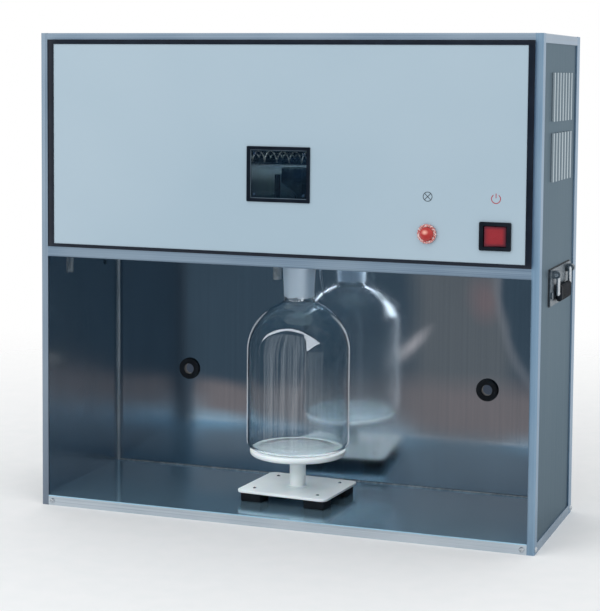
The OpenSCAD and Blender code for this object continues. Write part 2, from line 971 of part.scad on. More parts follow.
module rail_screws() {
    color("silver")
        for (side = [-1, 1], end = [-1, 1]) {
            mirror([0, end > 0 ? 1 : 0, 0])
                face_front(side * (half_w - rail_screw_inset), -half_d, rail_screw_z)
                    rail_screw();
            translate([side * half_w, end * (half_d - side_screw_inset), rail_screw_z])
                rotate([0, side * 90, 0])
                    rail_screw();
        }
}

/* Side handles */

module handle_rivet_places() {
    for (sy = [-1, 1])
        translate([skin_x, handle_y + sy * (handle_plate_w / 2 - 6), handle_z - 8])
            rotate([0, 90, 0])
                children();
}

module handle_pads() {
    color("black")
        for (side = [-1, 1])
            at_side(side)
                difference() {
                    translate([skin_x, handle_y, handle_z])
                        rotate([90, 0, 90])
                            linear_extrude(handle_pad_t)
                                round_rect(handle_plate_w + 2 * handle_pad_edge,
                                           handle_plate_h + 2 * handle_pad_edge, 3);
                    handle_rivet_places()
                        cylinder(r = handle_rivet_r + pin_gap, h = 8 * handle_pad_t, center = true);
                }
}

module handle_plates() {
    color("silver")
        for (side = [-1, 1])
            at_side(side) {
                translate([skin_x + handle_pad_t, handle_y, handle_z])
                    rotate([90, 0, 90])
                        linear_extrude(handle_plate_t)
                            round_rect(handle_plate_w, handle_plate_h, 3);
                handle_rivet_places()
                    translate([0, 0, -sheet_t - 1])
                        cylinder(r = handle_rivet_r, h = sheet_t + 1 + handle_pad_t);
                handle_rivet_places()
                    translate([0, 0, handle_pad_t + handle_plate_t])
                        cylinder(r = handle_rivet_r + 1, h = handle_rivet_h);
                for (sy = [-1, 1])
                    handle_ear(sy);
            }
}

// An ear that carries one end of the bail in a bore
module handle_ear(sy) {
    low_y = sy > 0 ? ear_y : -ear_y - ear_t;
    translate([0, handle_y, 0])
        difference() {
            union() {
                translate([bail_x, low_y + ear_t, bail_z])
                    rotate([90, 0, 0])
                        cylinder(r = ear_r, h = ear_t);
                span([handle_skin_x - handle_plate_t / 2, low_y, bail_z - ear_r],
                     [bail_x, low_y + ear_t, bail_z + ear_r]);
            }
            translate([bail_x, low_y + ear_t + cut, bail_z])
                rotate([90, 0, 0])
                    cylinder(r = bail_r + pin_gap, h = ear_t + 2 * cut);
        }
}

module bail(side) {
    leg_y = bail_w / 2;
    color("silver")
        at_side(side)
            translate([bail_x, handle_y, bail_z]) {
                for (sy = [-1, 1]) {
                    translate([0, sy * leg_y, 0])
                        sphere(bail_r);
                    translate([0, sy * leg_y, -bail_reach])
                        cylinder(r = bail_r, h = bail_reach);
                    translate([0, sy * leg_y, -bail_reach])
                        sphere(bail_r);
                    translate([0, sy * leg_y, 0])
                        rotate([sy * -90, 0, 0])
                            cylinder(r = bail_r, h = ear_y - leg_y + ear_t);
                }
                translate([0, leg_y, -bail_reach])
                    rotate([90, 0, 0])
                        cylinder(r = bail_r, h = bail_w);
            }
}

// Stadium outline of the grip, standing up along Y
module grip_outline(grow) {
    flat = grip_h - grip_t;
    square([grip_t + 2 * grow, flat], center = true);
    for (end = [-1, 1])
        translate([0, end * flat / 2])
            circle(grip_t / 2 + grow);
}

module grip(side) {
    pitch = grip_l / (grip_rib_count + 1);
    color("black")
        at_side(side)
            translate([bail_x, handle_y, bail_z - bail_reach])
                difference() {
                    union() {
                        along_y(-grip_l / 2, grip_l / 2)
                            grip_outline(-grip_rib_rise);
                        for (i = [1 : grip_rib_count])
                            translate([0, i * pitch - grip_l / 2, 0])
                                along_y(-grip_rib_w / 2, grip_rib_w / 2)
                                    grip_outline(0);
                    }
                    translate([0, grip_l, 0])
                        rotate([90, 0, 0])
                            cylinder(r = bail_r, h = 2 * grip_l);
                }
}

/* Quartz still */

// Half outline of a closed cylinder with round ends, from y = 0 up
module vessel_outline(r, length, corner) {
    square([r - corner, length]);
    translate([0, corner])
        square([r, length - 2 * corner]);
    for (end = [corner, length - corner])
        translate([r - corner, end])
            circle(corner);
}

module heater_places() {
    for (sy = [-1, 1])
        translate([heater_left_x, sy * heater_y, heater_z])
            rotate([0, 90, 0])
                children();
}

module boiler_vessel() {
    color("lightcyan", 0.4)
        difference() {
            translate([boiler_left_x, 0, boiler_z])
                rotate([0, 90, 0])
                    rotate_extrude($fn = 96)
                        difference() {
                            vessel_outline(boiler_r, boiler_l, boiler_corner);
                            translate([0, boiler_wall])
                                vessel_outline(boiler_r - boiler_wall, boiler_l - 2 * boiler_wall,
                                               boiler_corner - boiler_wall);
                        }
            heater_places()
                cylinder(r = heater_r + glass_gap, h = heater_out + boiler_corner);
            translate([boiler_right_x - boiler_corner, 0, finger_z])
                rotate([0, 90, 0])
                    cylinder(r = finger_r + glass_gap, h = 2 * boiler_corner);
            vessel_port(receiver_x, 0, stem_r);
            vessel_port(overflow_x, 0, overflow_r);
            vessel_port(feed_port_x, 0, feed_tube_r);
            vessel_port(vent_x, vent_y, vent_r);
        }
}

// A hole down through the bottom wall of the boiler
module vessel_port(x, y, r) {
    translate([x, y, boiler_low_z - cut])
        cylinder(r = r + glass_gap, h = 4 * boiler_wall);
}

// A tapered hose barb along +Z
module barb(bore_r) {
    difference() {
        cylinder(r1 = barb_r, r2 = feed_tube_r - 0.4, h = barb_l);
        translate([0, 0, -cut])
            cylinder(r = bore_r, h = barb_l + 2 * cut);
    }
}

module cold_finger() {
    bore_r = feed_tube_r - tube_wall;
    color("lightcyan", 0.4)
        difference() {
            union() {
                translate([finger_tip_x, 0, finger_z])
                    rotate([0, 90, 0])
                        rotate_extrude()
                            vessel_half_ball(finger_r, finger_l);
                translate([receiver_x, 0, finger_z - finger_r * 0.7 - drip_nib_l + 2])
                    cylinder(r1 = 0.6, r2 = 2.4, h = drip_nib_l);
                translate([finger_end_x - side_barb_back, 0, finger_z])
                    cylinder(r = feed_tube_r, h = finger_r + side_barb_l);
                translate([finger_end_x - side_barb_back, 0, finger_z + finger_r + side_barb_l])
                    barb(bore_r);
            }
            translate([finger_tip_x + 1.5, 0, finger_z])
                rotate([0, 90, 0])
                    rotate_extrude()
                        vessel_half_ball(finger_r - 1.5, finger_l - 3);
            translate([finger_end_x - 2 * cut - 3, 0, finger_z])
                rotate([0, 90, 0])
                    cylinder(r = feed_tube_r + glass_gap, h = 10);
            translate([finger_end_x - side_barb_back, 0, finger_z])
                cylinder(r = bore_r, h = finger_r + side_barb_l + cut);
        }
}

// Half outline of a round-nosed cylinder, nose at y = 0
module vessel_half_ball(r, length) {
    translate([0, r])
        square([r, length - r]);
    intersection() {
        translate([0, r])
            circle(r);
        square([r, r]);
    }
}

module cooling_feed_tube() {
    color("lightcyan", 0.4)
        translate([finger_tip_x + feed_tube_clear, 0, finger_z])
            rotate([0, 90, 0]) {
                tube(feed_tube_r, feed_tube_r - tube_wall, feed_tube_l);
                translate([0, 0, feed_tube_l])
                    barb(feed_tube_r - tube_wall);
            }
}

module heater_sheaths() {
    color("lightcyan", 0.4)
        heater_places()
            rotate_extrude()
                difference() {
                    mirror([0, 1])
                        translate([0, -heater_l])
                            vessel_half_ball(heater_r, heater_l);
                    mirror([0, 1])
                        translate([0, -heater_l + heater_wall])
                            vessel_half_ball(heater_r - heater_wall, heater_l);
                }
}

// Points of the resistance wire: a straight lead, the turns, a straight end
lead_l = 2 * coil_wire_d;
coil_steps = coil_turns * coil_rings;
coil_out = [for (i = [0 : coil_steps]) [0, sin(360 * i / coil_rings), cos(360 * i / coil_rings)]];
coil_path = [for (i = [0 : coil_steps])
    [coil_left_x + coil_pitch * i / coil_rings, 0, 0] + coil_in_r * coil_out[i]];
wire_path = concat([coil_path[0] - [lead_l, 0, 0]], coil_path, [coil_path[coil_steps] + [lead_l, 0, 0]]);
wire_out = concat([coil_out[0]], coil_out, [coil_out[coil_steps]]);
coil_gap = min([for (i = [0 : coil_rings], k = [-3 : 3])
    norm(coil_path[i + coil_rings + k] - coil_path[i])]) - coil_wire_d;
echo(least_gap_between_turns = coil_gap);

// Sweeps a round wire along a path of points, given the outward direction at each point
module wire(path, outward, radius, sides) {
    last = len(path) - 1;
    tangents = [for (i = [0 : last]) unit(path[min(i + 1, last)] - path[max(i - 1, 0)])];
    rings = [for (i = [0 : last])
        let (up = cross(tangents[i], outward[i]))
        for (k = [0 : sides - 1])
            path[i] + radius * (cos(360 * k / sides) * outward[i] + sin(360 * k / sides) * up)];
    walls = [for (i = [0 : last - 1], k = [0 : sides - 1])
        let (a = i * sides + k, b = i * sides + (k + 1) % sides)
        each [[a, b, b + sides], [a, b + sides, a + sides]]];
    near = [for (k = [1 : sides - 2]) [0, k + 1, k]];
    far = [for (k = [1 : sides - 2]) [last * sides, last * sides + k, last * sides + k + 1]];
    polyhedron(rings, concat(walls, near, far));
}

function unit(v) = v / norm(v);

module heater_coil(sy) {
    color("dimgray")
        translate([0, sy * heater_y, heater_z])
            wire(wire_path, wire_out, coil_wire_d / 2, coil_sides);
}

module heater_caps() {
    color("ivory")
        heater_places()
            translate([0, 0, -heater_cap_l + heater_cap_grip])
                difference() {
                    union() {
                        cylinder(r = heater_cap_r, h = heater_cap_l);
                        translate([0, 0, -heater_stud_l])
                            cylinder(r = heater_stud_r, h = heater_stud_l);
                    }
                    translate([0, 0, heater_cap_l - heater_cap_grip])
                        cylinder(r = heater_r + glass_gap, h = heater_cap_grip + cut);
                }
}

module funnel_outline(wall) {
    cup_low_z = funnel_z - funnel_wall_h;
    stem_top_z = cup_low_z - funnel_cone_h;
    polygon([
        [0, outlet_tip_z - (wall > 0 ? cut : 0)],
        [stem_r - wall, outlet_tip_z - (wall > 0 ? cut : 0)],
        [stem_r - wall, stem_top_z],
        [funnel_r - wall, cup_low_z],
        [funnel_r - wall, funnel_z + (wall > 0 ? cut : 0)],
        [0, funnel_z + (wall > 0 ? cut : 0)]
    ]);
}

module distillate_funnel() {
    color("lightcyan", 0.4)
        translate([receiver_x, 0, 0])
            rotate_extrude()
                difference() {
                    funnel_outline(0);
                    funnel_outline(tube_wall);
                }
}

module overflow_pipe() {
    color("lightcyan", 0.4)
        translate([overflow_x, 0, overflow_end_z])
            tube(overflow_r, overflow_r - 0.9, boiler_z + water_rise - overflow_end_z);
}

module overflow_sleeve() {
    color("gainsboro", 0.7)
        translate([overflow_x, 0, sleeve_low_z])
            tube(sleeve_r, overflow_r + glass_gap, sleeve_top_z - sleeve_low_z);
}

module feed_port() {
    color("lightcyan", 0.4)
        translate([feed_port_x, 0, feed_port_low_z]) {
            tube(feed_tube_r, feed_tube_r - tube_wall, feed_port_top_z - feed_port_low_z);
            mirror([0, 0, 1])
                barb(feed_tube_r - tube_wall);
        }
}

// The hose end that comes down through the shelf, held by a flange that lies on it
module water_inlet() {
    color("lightcyan", 0.4)
        translate([inlet_x, inlet_y, 0])
            difference() {
                union() {
                    translate([0, 0, inlet_low_z])
                        cylinder(r = feed_tube_r, h = inlet_top_z - inlet_low_z);
                    translate([0, 0, shelf_top_z])
                        cylinder(r = inlet_flange_r, h = inlet_flange_t);
                }
                translate([0, 0, inlet_low_z - cut])
                    cylinder(r = feed_tube_r - tube_wall, h = inlet_top_z - inlet_low_z + 2 * cut);
            }
}

module vent_capillary() {
    color("lightcyan", 0.4)
        translate([vent_x, vent_y, vent_bend_z]) {
            cylinder(r = vent_r, h = boiler_low_z + 8 - vent_bend_z);
            sphere(vent_r);
            rotate([0, 180 - vent_lean, 0])
                cylinder(r1 = vent_r, r2 = vent_tip_r, h = vent_tip_l);
        }
}

module outlet_bush() {
    color("white")
        translate([receiver_x, 0, shelf_z])
            difference() {
                union() {
                    cylinder(r = outlet_bush_r, h = deck_t);
                    translate([0, 0, deck_t])
                        cylinder(r = outlet_bush_flange_r, h = outlet_bush_flange_t);
                }
                translate([0, 0, -cut])
                    cylinder(r = stem_r + glass_gap, h = deck_t + outlet_bush_flange_t + 2 * cut);
            }
}

module boiler_saddles() {
    color("white")
        for (end = [-1, 1])
            translate([boiler_x + end * saddle_span / 2, 0, 0])
                difference() {
                    span([-saddle_w / 2, -saddle_d / 2, shelf_top_z],
                         [saddle_w / 2, saddle_d / 2, boiler_low_z + saddle_rise]);
                    translate([-saddle_w, 0, boiler_z])
                        rotate([0, 90, 0])
                            cylinder(r = boiler_r + saddle_gap, h = 2 * saddle_w, $fn = 96);
                    translate([-saddle_w, 0, shelf_top_z])
                        rotate([0, 90, 0])
                            cylinder(r = saddle_arch_r, h = 2 * saddle_w);
                }
}

module terminal_block() {
    color("ivory")
        translate([block_x, 0, shelf_top_z])
            difference() {
                span([-block_w / 2, -block_d / 2, 0], [block_w / 2, block_d / 2, block_h]);
                for (i = [0 : block_ways - 1], sx = [-1, 1])
                    translate([sx * block_w / 4, (i - (block_ways - 1) / 2) * block_d / block_ways,
                               block_h - 8])
                        cylinder(r = 3, h = 10);
                for (i = [0 : block_ways - 2])
                    translate([0, (i - (block_ways - 2) / 2) * block_d / block_ways, block_h])
                        cube([block_w + cut, 1.5, 8], center = true);
            }
}

/* Receiver */

// Half outline of the bottle, drawn in by a wall thickness
module bottle_outline(inset) {
    r = bottle_r - inset;
    corner = bottle_corner - inset;
    low = bottle_low_z + inset;
    fillet = neck_fillet + inset;
    fillet_x = neck_r + neck_fillet;
    foot_x = fillet_x * r / (bottle_r + neck_fillet);
    foot_top_z = dome_z + (neck_low_z - dome_z) * r / (bottle_r + neck_fillet);
    top = bottle_top_z + (inset > 0 ? cut : 0);
    translate([0, low])
        square([r - corner, corner]);
    translate([r - corner, low + corner])
        circle(corner);
    translate([0, low + corner])
        square([r, dome_z - low - corner]);
    intersection() {
        translate([0, dome_z])
            circle(r, $fn = 96);
        translate([0, dome_z - cut])
            square([r, neck_low_z - dome_z + cut]);
    }
    difference() {
        polygon([
            [0, foot_top_z - cut],
            [foot_x, foot_top_z],
            [fillet_x, neck_low_z],
            [0, neck_low_z]
        ]);
        translate([fillet_x, neck_low_z])
            circle(fillet);
    }
    polygon([
        [0, neck_low_z - cut],
        [neck_r - inset, neck_low_z],
        [neck_top_r - inset, top],
        [0, top]
    ]);
}

module bottle() {
    color("lightcyan", 0.4)
        translate([receiver_x, 0, 0])
            rotate_extrude($fn = 96)
                difference() {
                    bottle_outline(0);
                    bottle_outline(bottle_wall);
                }
}

module stand_disc() {
    color("white")
        translate([receiver_x, 0, stand_top_z - disc_t])
            rotate_extrude($fn = 96)
                union() {
                    square([disc_d / 2 - disc_edge, disc_t]);
                    translate([0, disc_edge])
                        square([disc_d / 2, disc_t - 2 * disc_edge]);
                    for (z = [disc_edge, disc_t - disc_edge])
                        translate([disc_d / 2 - disc_edge, z])
                            circle(disc_edge);
                }
}

module stand_column() {
    color("white")
        translate([receiver_x, 0, stand_plate_top_z]) {
            cylinder(d = column_d, h = stand_top_z - disc_t - stand_plate_top_z);
            cylinder(r = column_flange_r, h = column_flange_t);
        }
}

module on_stand() {
    translate([receiver_x, 0, 0])
        rotate([0, 0, stand_turn])
            children();
}

module stand_corners(inset) {
    for (sx = [-1, 1], sy = [-1, 1])
        translate([sx * (stand_plate_w / 2 - inset), sy * (stand_plate_d / 2 - inset), 0])
            children();
}

module stand_plate() {
    color("white")
        on_stand()
            difference() {
                translate([0, 0, stand_plate_z])
                    linear_extrude(stand_plate_t)
                        round_rect(stand_plate_w, stand_plate_d, stand_plate_corner);
                stand_corners(stand_screw_inset)
                    translate([0, 0, stand_plate_z - cut])
                        cylinder(d = stand_screw_d / 2 + 2 * pin_gap, h = stand_plate_t + 2 * cut);
            }
}

module stand_feet() {
    color("black")
        on_stand()
            stand_corners(foot_inset + foot_w / 2)
                translate([0, 0, foot_z])
                    difference() {
                        linear_extrude(foot_h)
                            round_rect(foot_w, foot_w, 2);
                        translate([0, 0, foot_h / 2])
                            cylinder(d = stand_screw_d / 2 + 2 * pin_gap, h = foot_h);
                    }
}

module stand_screws() {
    color("dimgray")
        on_stand()
            stand_corners(stand_screw_inset)
                translate([0, 0, stand_plate_top_z])
                    dome_screw(stand_screw_d, stand_screw_h, stand_screw_d / 4, stand_plate_t + 3);
}

post(-1, -1, front_post_side_w);  // front_post_left
post(1, -1, front_post_side_w);  // front_post_right
post(-1, 1, rear_post_side_w);  // rear_post_left
post(1, 1, rear_post_side_w);  // rear_post_right
top_rail(-1, front_post_side_w);  // top_rail_front
top_rail(1, rear_post_side_w);  // top_rail_rear
side_top_rail(-1);  // top_rail_left
side_top_rail(1);  // top_rail_right
mid_rail();
base_rail(-1, front_post_side_w);  // base_rail_front
base_rail(1, rear_post_side_w);  // base_rail_rear
side_base_rail(-1);  // base_rail_left
side_base_rail(1);  // base_rail_right
top_panel();
side_panel(-1);  // side_panel_left
side_panel(1);  // side_panel_right
rear_panel();
base_plate();
bay_floor();
boiler_shelf();
front_panel();
panel_border();
window_frame();
window_glass();
window_screws();
lamp_lens();
lamp_body();
switch_housing();
switch_rocker();
grommets();
cord_gland();
rail_screws();
handle_pads();
handle_plates();
bail(-1);  // bail_left
bail(1);  // bail_right
grip(-1);  // grip_left
grip(1);  // grip_right
boiler_vessel();
cold_finger();
cooling_feed_tube();
heater_sheaths();
heater_coil(-1);  // heater_coil_front
heater_coil(1);  // heater_coil_rear
heater_caps();
distillate_funnel();
overflow_pipe();
overflow_sleeve();
feed_port();
water_inlet();
vent_capillary();
outlet_bush();
boiler_saddles();
terminal_block();
bottle();
stand_disc();
stand_column();
stand_plate();
stand_feet();
stand_screws();
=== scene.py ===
"""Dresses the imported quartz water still: finishes, fine pieces, stage and camera."""

import json
import math

import bmesh
import bpy
from bpy.props import (FloatProperty, FloatVectorProperty, IntProperty,
                       PointerProperty)
from mathutils import Matrix, Vector

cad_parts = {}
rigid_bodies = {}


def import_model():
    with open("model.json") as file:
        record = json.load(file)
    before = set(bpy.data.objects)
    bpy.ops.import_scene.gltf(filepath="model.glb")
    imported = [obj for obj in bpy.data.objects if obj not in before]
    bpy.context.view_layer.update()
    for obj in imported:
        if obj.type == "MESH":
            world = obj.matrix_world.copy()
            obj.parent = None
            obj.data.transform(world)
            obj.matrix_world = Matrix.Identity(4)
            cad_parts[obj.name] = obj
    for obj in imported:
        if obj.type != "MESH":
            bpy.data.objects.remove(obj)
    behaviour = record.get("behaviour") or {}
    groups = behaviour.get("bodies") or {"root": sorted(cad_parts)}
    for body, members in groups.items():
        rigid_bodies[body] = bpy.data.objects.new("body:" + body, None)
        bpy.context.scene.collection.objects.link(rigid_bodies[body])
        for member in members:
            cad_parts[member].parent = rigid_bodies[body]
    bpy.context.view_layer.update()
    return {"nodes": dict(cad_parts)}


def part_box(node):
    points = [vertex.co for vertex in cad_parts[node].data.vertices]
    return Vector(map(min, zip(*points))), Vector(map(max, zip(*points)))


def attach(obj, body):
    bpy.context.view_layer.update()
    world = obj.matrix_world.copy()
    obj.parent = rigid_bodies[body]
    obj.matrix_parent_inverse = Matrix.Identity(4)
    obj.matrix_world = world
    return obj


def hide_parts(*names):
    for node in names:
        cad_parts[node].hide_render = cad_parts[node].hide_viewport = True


bl_info = {
    "name": "Quartz water still dressing",
    "version": (1, 0, 0),
    "blender": (4, 5, 0),
    "location": "3D View > Sidebar > Still",
    "description": "Gives the packed water still its finishes, fine pieces, stage and camera",
    "category": "Object",
}

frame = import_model()
MM = 0.001
# Places that no box of the frame gives by itself, in metres: the outer face of the side sheets,
# the line of the rocker's pins, and the ring grommets of the rear wall and of the shelf.
SKIN = 0.2785
PIN_Y = -0.0917
GROMMET_X, GROMMET_Z, SHELF_GROMMET_Y = 0.183, 0.130, 0.055


# ---------------------------------------------------------------- colour and nodes

def linear(hex_colour, alpha=1.0):
    """Turns an sRGB hex colour into linear values."""
    def channel(pair):
        c = int(pair, 16) / 255
        return c / 12.92 if c <= 0.04045 else ((c + 0.055) / 1.055) ** 2.4
    h = hex_colour.lstrip("#")
    return tuple(channel(h[i:i + 2]) for i in (0, 2, 4)) + (alpha,)


def is_source(value):
    """Whether a value is a node or (node, output), and so something to link."""
    first = value[0] if isinstance(value, tuple) else value
    return isinstance(first, bpy.types.Node)


def output_of(source):
    """The output that (node, output) names, or the one that a node has in use."""
    if isinstance(source, tuple):
        return source[0].outputs[source[1]]
    return next(socket for socket in source.outputs if socket.enabled)


def add(tree, kind, inputs=None, **settings):
    """Adds one node with its settings. inputs maps a socket to a number, a hex colour or a source
    to link, or is a list of them in the order of the sockets in use."""
    made = tree.nodes.new("ShaderNode" + kind)
    for key, value in settings.items():
        setattr(made, key, value)
    if isinstance(inputs, list):
        pairs = zip([socket for socket in made.inputs if socket.enabled], inputs)
    else:
        pairs = [(made.inputs[key], value) for key, value in (inputs or {}).items()]
    for socket, value in pairs:
        if is_source(value):
            tree.links.new(output_of(value), socket)
        else:
            socket.default_value = linear(value) if isinstance(value, str) else value
    return made


def wire_in(tree, shader, socket, source):
    """Links a source to a socket of the shader."""
    tree.links.new(output_of(source), shader.inputs[socket])


def bare_material(name):
    """A material whose tree is empty. Returns both."""
    made = bpy.data.materials.new(name)
    made.use_nodes = True
    made.node_tree.nodes.clear()
    return made, made.node_tree


def new_finish(name, hex_colour, metallic=0.0, roughness=0.5, **sockets):
    """A material with one Principled shader. Returns the material, its tree and the shader."""
    made, tree = bare_material(name)
    shader = add(tree, "BsdfPrincipled", {
        "Base Color": hex_colour, "Metallic": metallic, "Roughness": roughness})
    for key, value in sockets.items():
        shader.inputs[key.replace("_", " ")].default_value = value
    add(tree, "OutputMaterial", {"Surface": shader})
    return made, tree, shader


def place_on_piece(tree):
    """Object coordinates in metres, as three numbers."""
    where = add(tree, "TexCoord")
    return add(tree, "SeparateXYZ", {"Vector": (where, "Object")})


def pattern(tree, scale, detail=3.0, rough=0.5):
    """A cloudy pattern on the piece, about 0.2 to 0.8. scale is its features in each metre, along
    X, Y and Z or along all three."""
    where = add(tree, "TexCoord")
    local = add(tree, "Mapping", {
        "Vector": (where, "Object"), "Scale": scale if isinstance(scale, tuple) else (scale,) * 3})
    return add(tree, "TexNoise", {
        "Vector": local, "Scale": 1.0, "Detail": detail, "Roughness": rough, "Distortion": 0.0})


def mottle(tree, source, low, high, first, second, most=1.0):
    """Goes from one colour to another, at most so far, as a source goes from low to high."""
    share = add(tree, "MapRange", [source, low, high, 0, most])
    return add(tree, "Mix", [share, first, second], data_type="RGBA")


def vary(tree, shader, socket, source, low, high, out_low, out_high):
    """Lets a source drive a socket of the shader, between two values."""
    wire_in(tree, shader, socket, add(tree, "MapRange", [source, low, high, out_low, out_high]))


def tint(tree, shader, share, first=None, second=None):
    """Blends the shader's colour with another one, which goes first or second."""
    plain = shader.inputs["Base Color"].links[0].from_node
    wire_in(tree, shader, "Base Color", add(
        tree, "Mix", [share, first or plain, second or plain], data_type="RGBA"))


# ---------------------------------------------------------------- finishes

def extruded_aluminium(name, run, dark, pale, worn_to, greyer_foot=False):
    """Natural 6063 angle, mill finish: pale satin metal with fine die lines along the bar. Some
    bars are greyer towards the foot."""
    made, tree, shader = new_finish("extruded_aluminium_" + name, pale, 1.0, 0.36)
    # Die lines are about 0.3 mm apart; drawn 1.2 mm apart so that they show.
    across, along = 1 / (1.2 * MM), 1 / 0.3
    scale = {"x": (along, across, across), "y": (across, along, across),
             "z": (across, across, along)}[run]
    lines = pattern(tree, scale, 2.0)
    tone = mottle(tree, lines, 0.3, 0.7, dark, pale)
    worn = mottle(tree, pattern(tree, 9, 2.0), 0.35, 0.65, tone, worn_to, 0.5)
    if greyer_foot:
        # The grey sets in 340 mm above the floor and is full at 20 mm.
        worn = mottle(tree, (place_on_piece(tree), "Z"), 0.34, 0.02, worn, "#707885", 0.7)
    wire_in(tree, shader, "Base Color", worn)
    vary(tree, shader, "Roughness", lines, 0.3, 0.7, 0.28, 0.46)
    wire_in(tree, shader, "Normal", add(tree, "Bump", {
        "Strength": 0.35, "Distance": 0.05 * MM, "Height": lines}))
    return made


def stainless_sheet(name, thick_axis, inside_from, inside_to, polish=(0.07, 0.17),
                    inner=("#d6e1ea", "#dfe9f1"), film=0.0, hood_highlight=None, bulge=None):
    """Stainless sheet, 2B outside and bright-annealed inside: brushed grey outside, a dull mirror
    with faint rolling lines and smudges inside. The side is told apart by the place across the
    sheet. film is the share of the inside that a dull bluish film covers. The argument after film
    says where pressed hoods stand out; a highlight is painted along the nose of each. bulge is the
    height at which a thin wall bows out, and how much its slope turns for each metre."""
    made, tree, shader = new_finish(name, "#75848f", 1.0, 0.3)
    # Rolling lines are about 0.1 mm apart; drawn 2 mm apart and 300 mm long.
    upright = pattern(tree, (1 / (2 * MM), 1 / (2 * MM), 1 / 0.3))
    # Level lines, 1 mm apart, draw what the sheet reflects out up and down.
    level = pattern(tree, (1 / 0.25, 1 / 0.25, 1 / (1 * MM)), 2.0)
    smudge = pattern(tree, (7, 7, 5), 4.0, 0.6)
    parts = place_on_piece(tree)
    inside = add(tree, "MapRange", [(parts, thick_axis), inside_from, inside_to, 0, 1])
    vary(tree, shader, "Metallic", inside, 0, 1, 1, 1 - film)
    outer = mottle(tree, upright, 0.3, 0.7, "#75828b", "#838f97")
    # The brushed side is darker at a grazing angle than the bright one.
    wire_in(tree, shader, "Specular Tint", add(
        tree, "Mix", [inside, "#adbac3", "#ffffff"], data_type="RGBA"))
    if hood_highlight:
        # A painted highlight, 1.2 mm wide, lies along the nose of each hood, 0.12 of a pitch along.
        out_from, out_to, first, pitch = hood_highlight
        shift = add(tree, "Math", [(parts, 1), first], operation="SUBTRACT")
        count = add(tree, "Math", [shift, pitch], operation="DIVIDE")
        part = add(tree, "Math", [count], operation="FRACT")
        off = add(tree, "Math", [part, 0.12], operation="SUBTRACT")
        near = add(tree, "Math", [off], operation="ABSOLUTE")
        on_nose = add(tree, "MapRange", [near, 0.03, 0.07, 1, 0])
        stands_out = add(tree, "MapRange", [(parts, thick_axis), out_from, out_to, 0, 1])
        nose_highlight = add(tree, "Math", [on_nose, stands_out], operation="MULTIPLY")
        outer = add(tree, "Mix", [nose_highlight, outer, "#cbd6dc"], data_type="RGBA")
    polished = mottle(tree, upright, 0.3, 0.7, *inner)
    tone = add(tree, "Mix", [inside, outer, polished], data_type="RGBA")
    wire_in(tree, shader, "Base Color", mottle(tree, smudge, 0.4, 0.7, tone, "#6b7b84", 0.16))
    gloss_out = add(tree, "MapRange", [upright, 0.3, 0.7, 0.32, 0.45])
    gloss_in = add(tree, "MapRange", [smudge, 0.35, 0.7, *polish])
    wire_in(tree, shader, "Roughness", add(tree, "Mix", [inside, gloss_out, gloss_in]))
    lines = add(tree, "Mix", [inside, upright, level])
    relief = add(tree, "Bump", {"Strength": 0.3, "Distance": 0.006 * MM, "Height": lines})
    wire_in(tree, shader, "Normal", relief)
    if bulge:
        # The bow is a parabola of the height, too slight to show but for what it mirrors.
        off = add(tree, "Math", [(parts, 2), bulge[0]], operation="SUBTRACT")
        square = add(tree, "Math", [off, off], operation="MULTIPLY")
        wire_in(tree, relief, "Normal", add(tree, "Bump", {
            "Strength": 1.0, "Distance": bulge[1] / 2, "Height": square}, invert=True))
    return made


def bend_highlight():
    """The bends at the rear of the bay, drawn dull and pale: a painted highlight along each bend.
    """
    made, tree, shader = new_finish("stainless_bend_painted_highlight", "#93a0aa", 0.25, 0.42)
    along_bend = pattern(tree, (1 / (3 * MM), 1 / (3 * MM), 1 / 0.06))
    wire_in(tree, shader, "Base Color", mottle(tree, along_bend, 0.35, 0.65, "#7f8e9a", "#b3bec6"))
    vary(tree, shader, "Roughness", along_bend, 0.3, 0.7, 0.34, 0.5)
    return made


def enamelled_panel():
    """Stoved satin enamel on steel: even pale blue-grey with a slight orange peel."""
    made, tree, shader = new_finish("stoved_enamel_pale_blue", "#a9bdcb", 0.0, 0.34)
    cloud = pattern(tree, (3, 3, 4), 2.0)
    wire_in(tree, shader, "Base Color", mottle(tree, cloud, 0.35, 0.65, "#a6bcca", "#aec2cf"))
    # Orange peel of sprayed enamel has a wave of about 2 mm.
    peel = pattern(tree, 1 / (2 * MM), 1.0)
    wire_in(tree, shader, "Normal", add(tree, "Bump", {
        "Strength": 0.25, "Distance": 0.01 * MM, "Height": peel}))
    vary(tree, shader, "Roughness", peel, 0.3, 0.7, 0.30, 0.40)
    return made


def moulded(name, hex_colour, second, roughness=0.42, grain=0.6, height=0.02):
    """Moulded plastic or rubber: fine spark-eroded grain, and a colour that clouds a little. grain
    and height are in millimetres."""
    made, tree, shader = new_finish(name, hex_colour, 0.0, roughness)
    cells = pattern(tree, 1 / (grain * MM), 2.0)
    cloud = pattern(tree, 60)
    wire_in(tree, shader, "Base Color", mottle(tree, cloud, 0.35, 0.7, hex_colour, second))
    vary(tree, shader, "Roughness", cells, 0.3, 0.7, roughness - 0.08, roughness + 0.1)
    wire_in(tree, shader, "Normal", add(tree, "Bump", {
        "Strength": 0.3, "Distance": height * MM, "Height": cells}))
    return made


def machined_fluoroplastic():
    """PTFE, turned and milled: waxy white, faint tool marks, some light carried under the skin."""
    made, tree, shader = new_finish("ptfe_machined_white", "#e6eef0", 0.0, 0.38,
                                    Subsurface_Weight=0.15, Subsurface_Scale=2 * MM)
    marks = pattern(tree, 1 / (1.5 * MM), 2.0)
    cloud = pattern(tree, 22)
    wire_in(tree, shader, "Base Color", mottle(tree, cloud, 0.35, 0.7, "#e6eef0", "#d8e3e8"))
    vary(tree, shader, "Roughness", marks, 0.3, 0.7, 0.3, 0.46)
    wire_in(tree, shader, "Normal", add(tree, "Bump", {
        "Strength": 0.3, "Distance": 0.012 * MM, "Height": marks}))
    return made


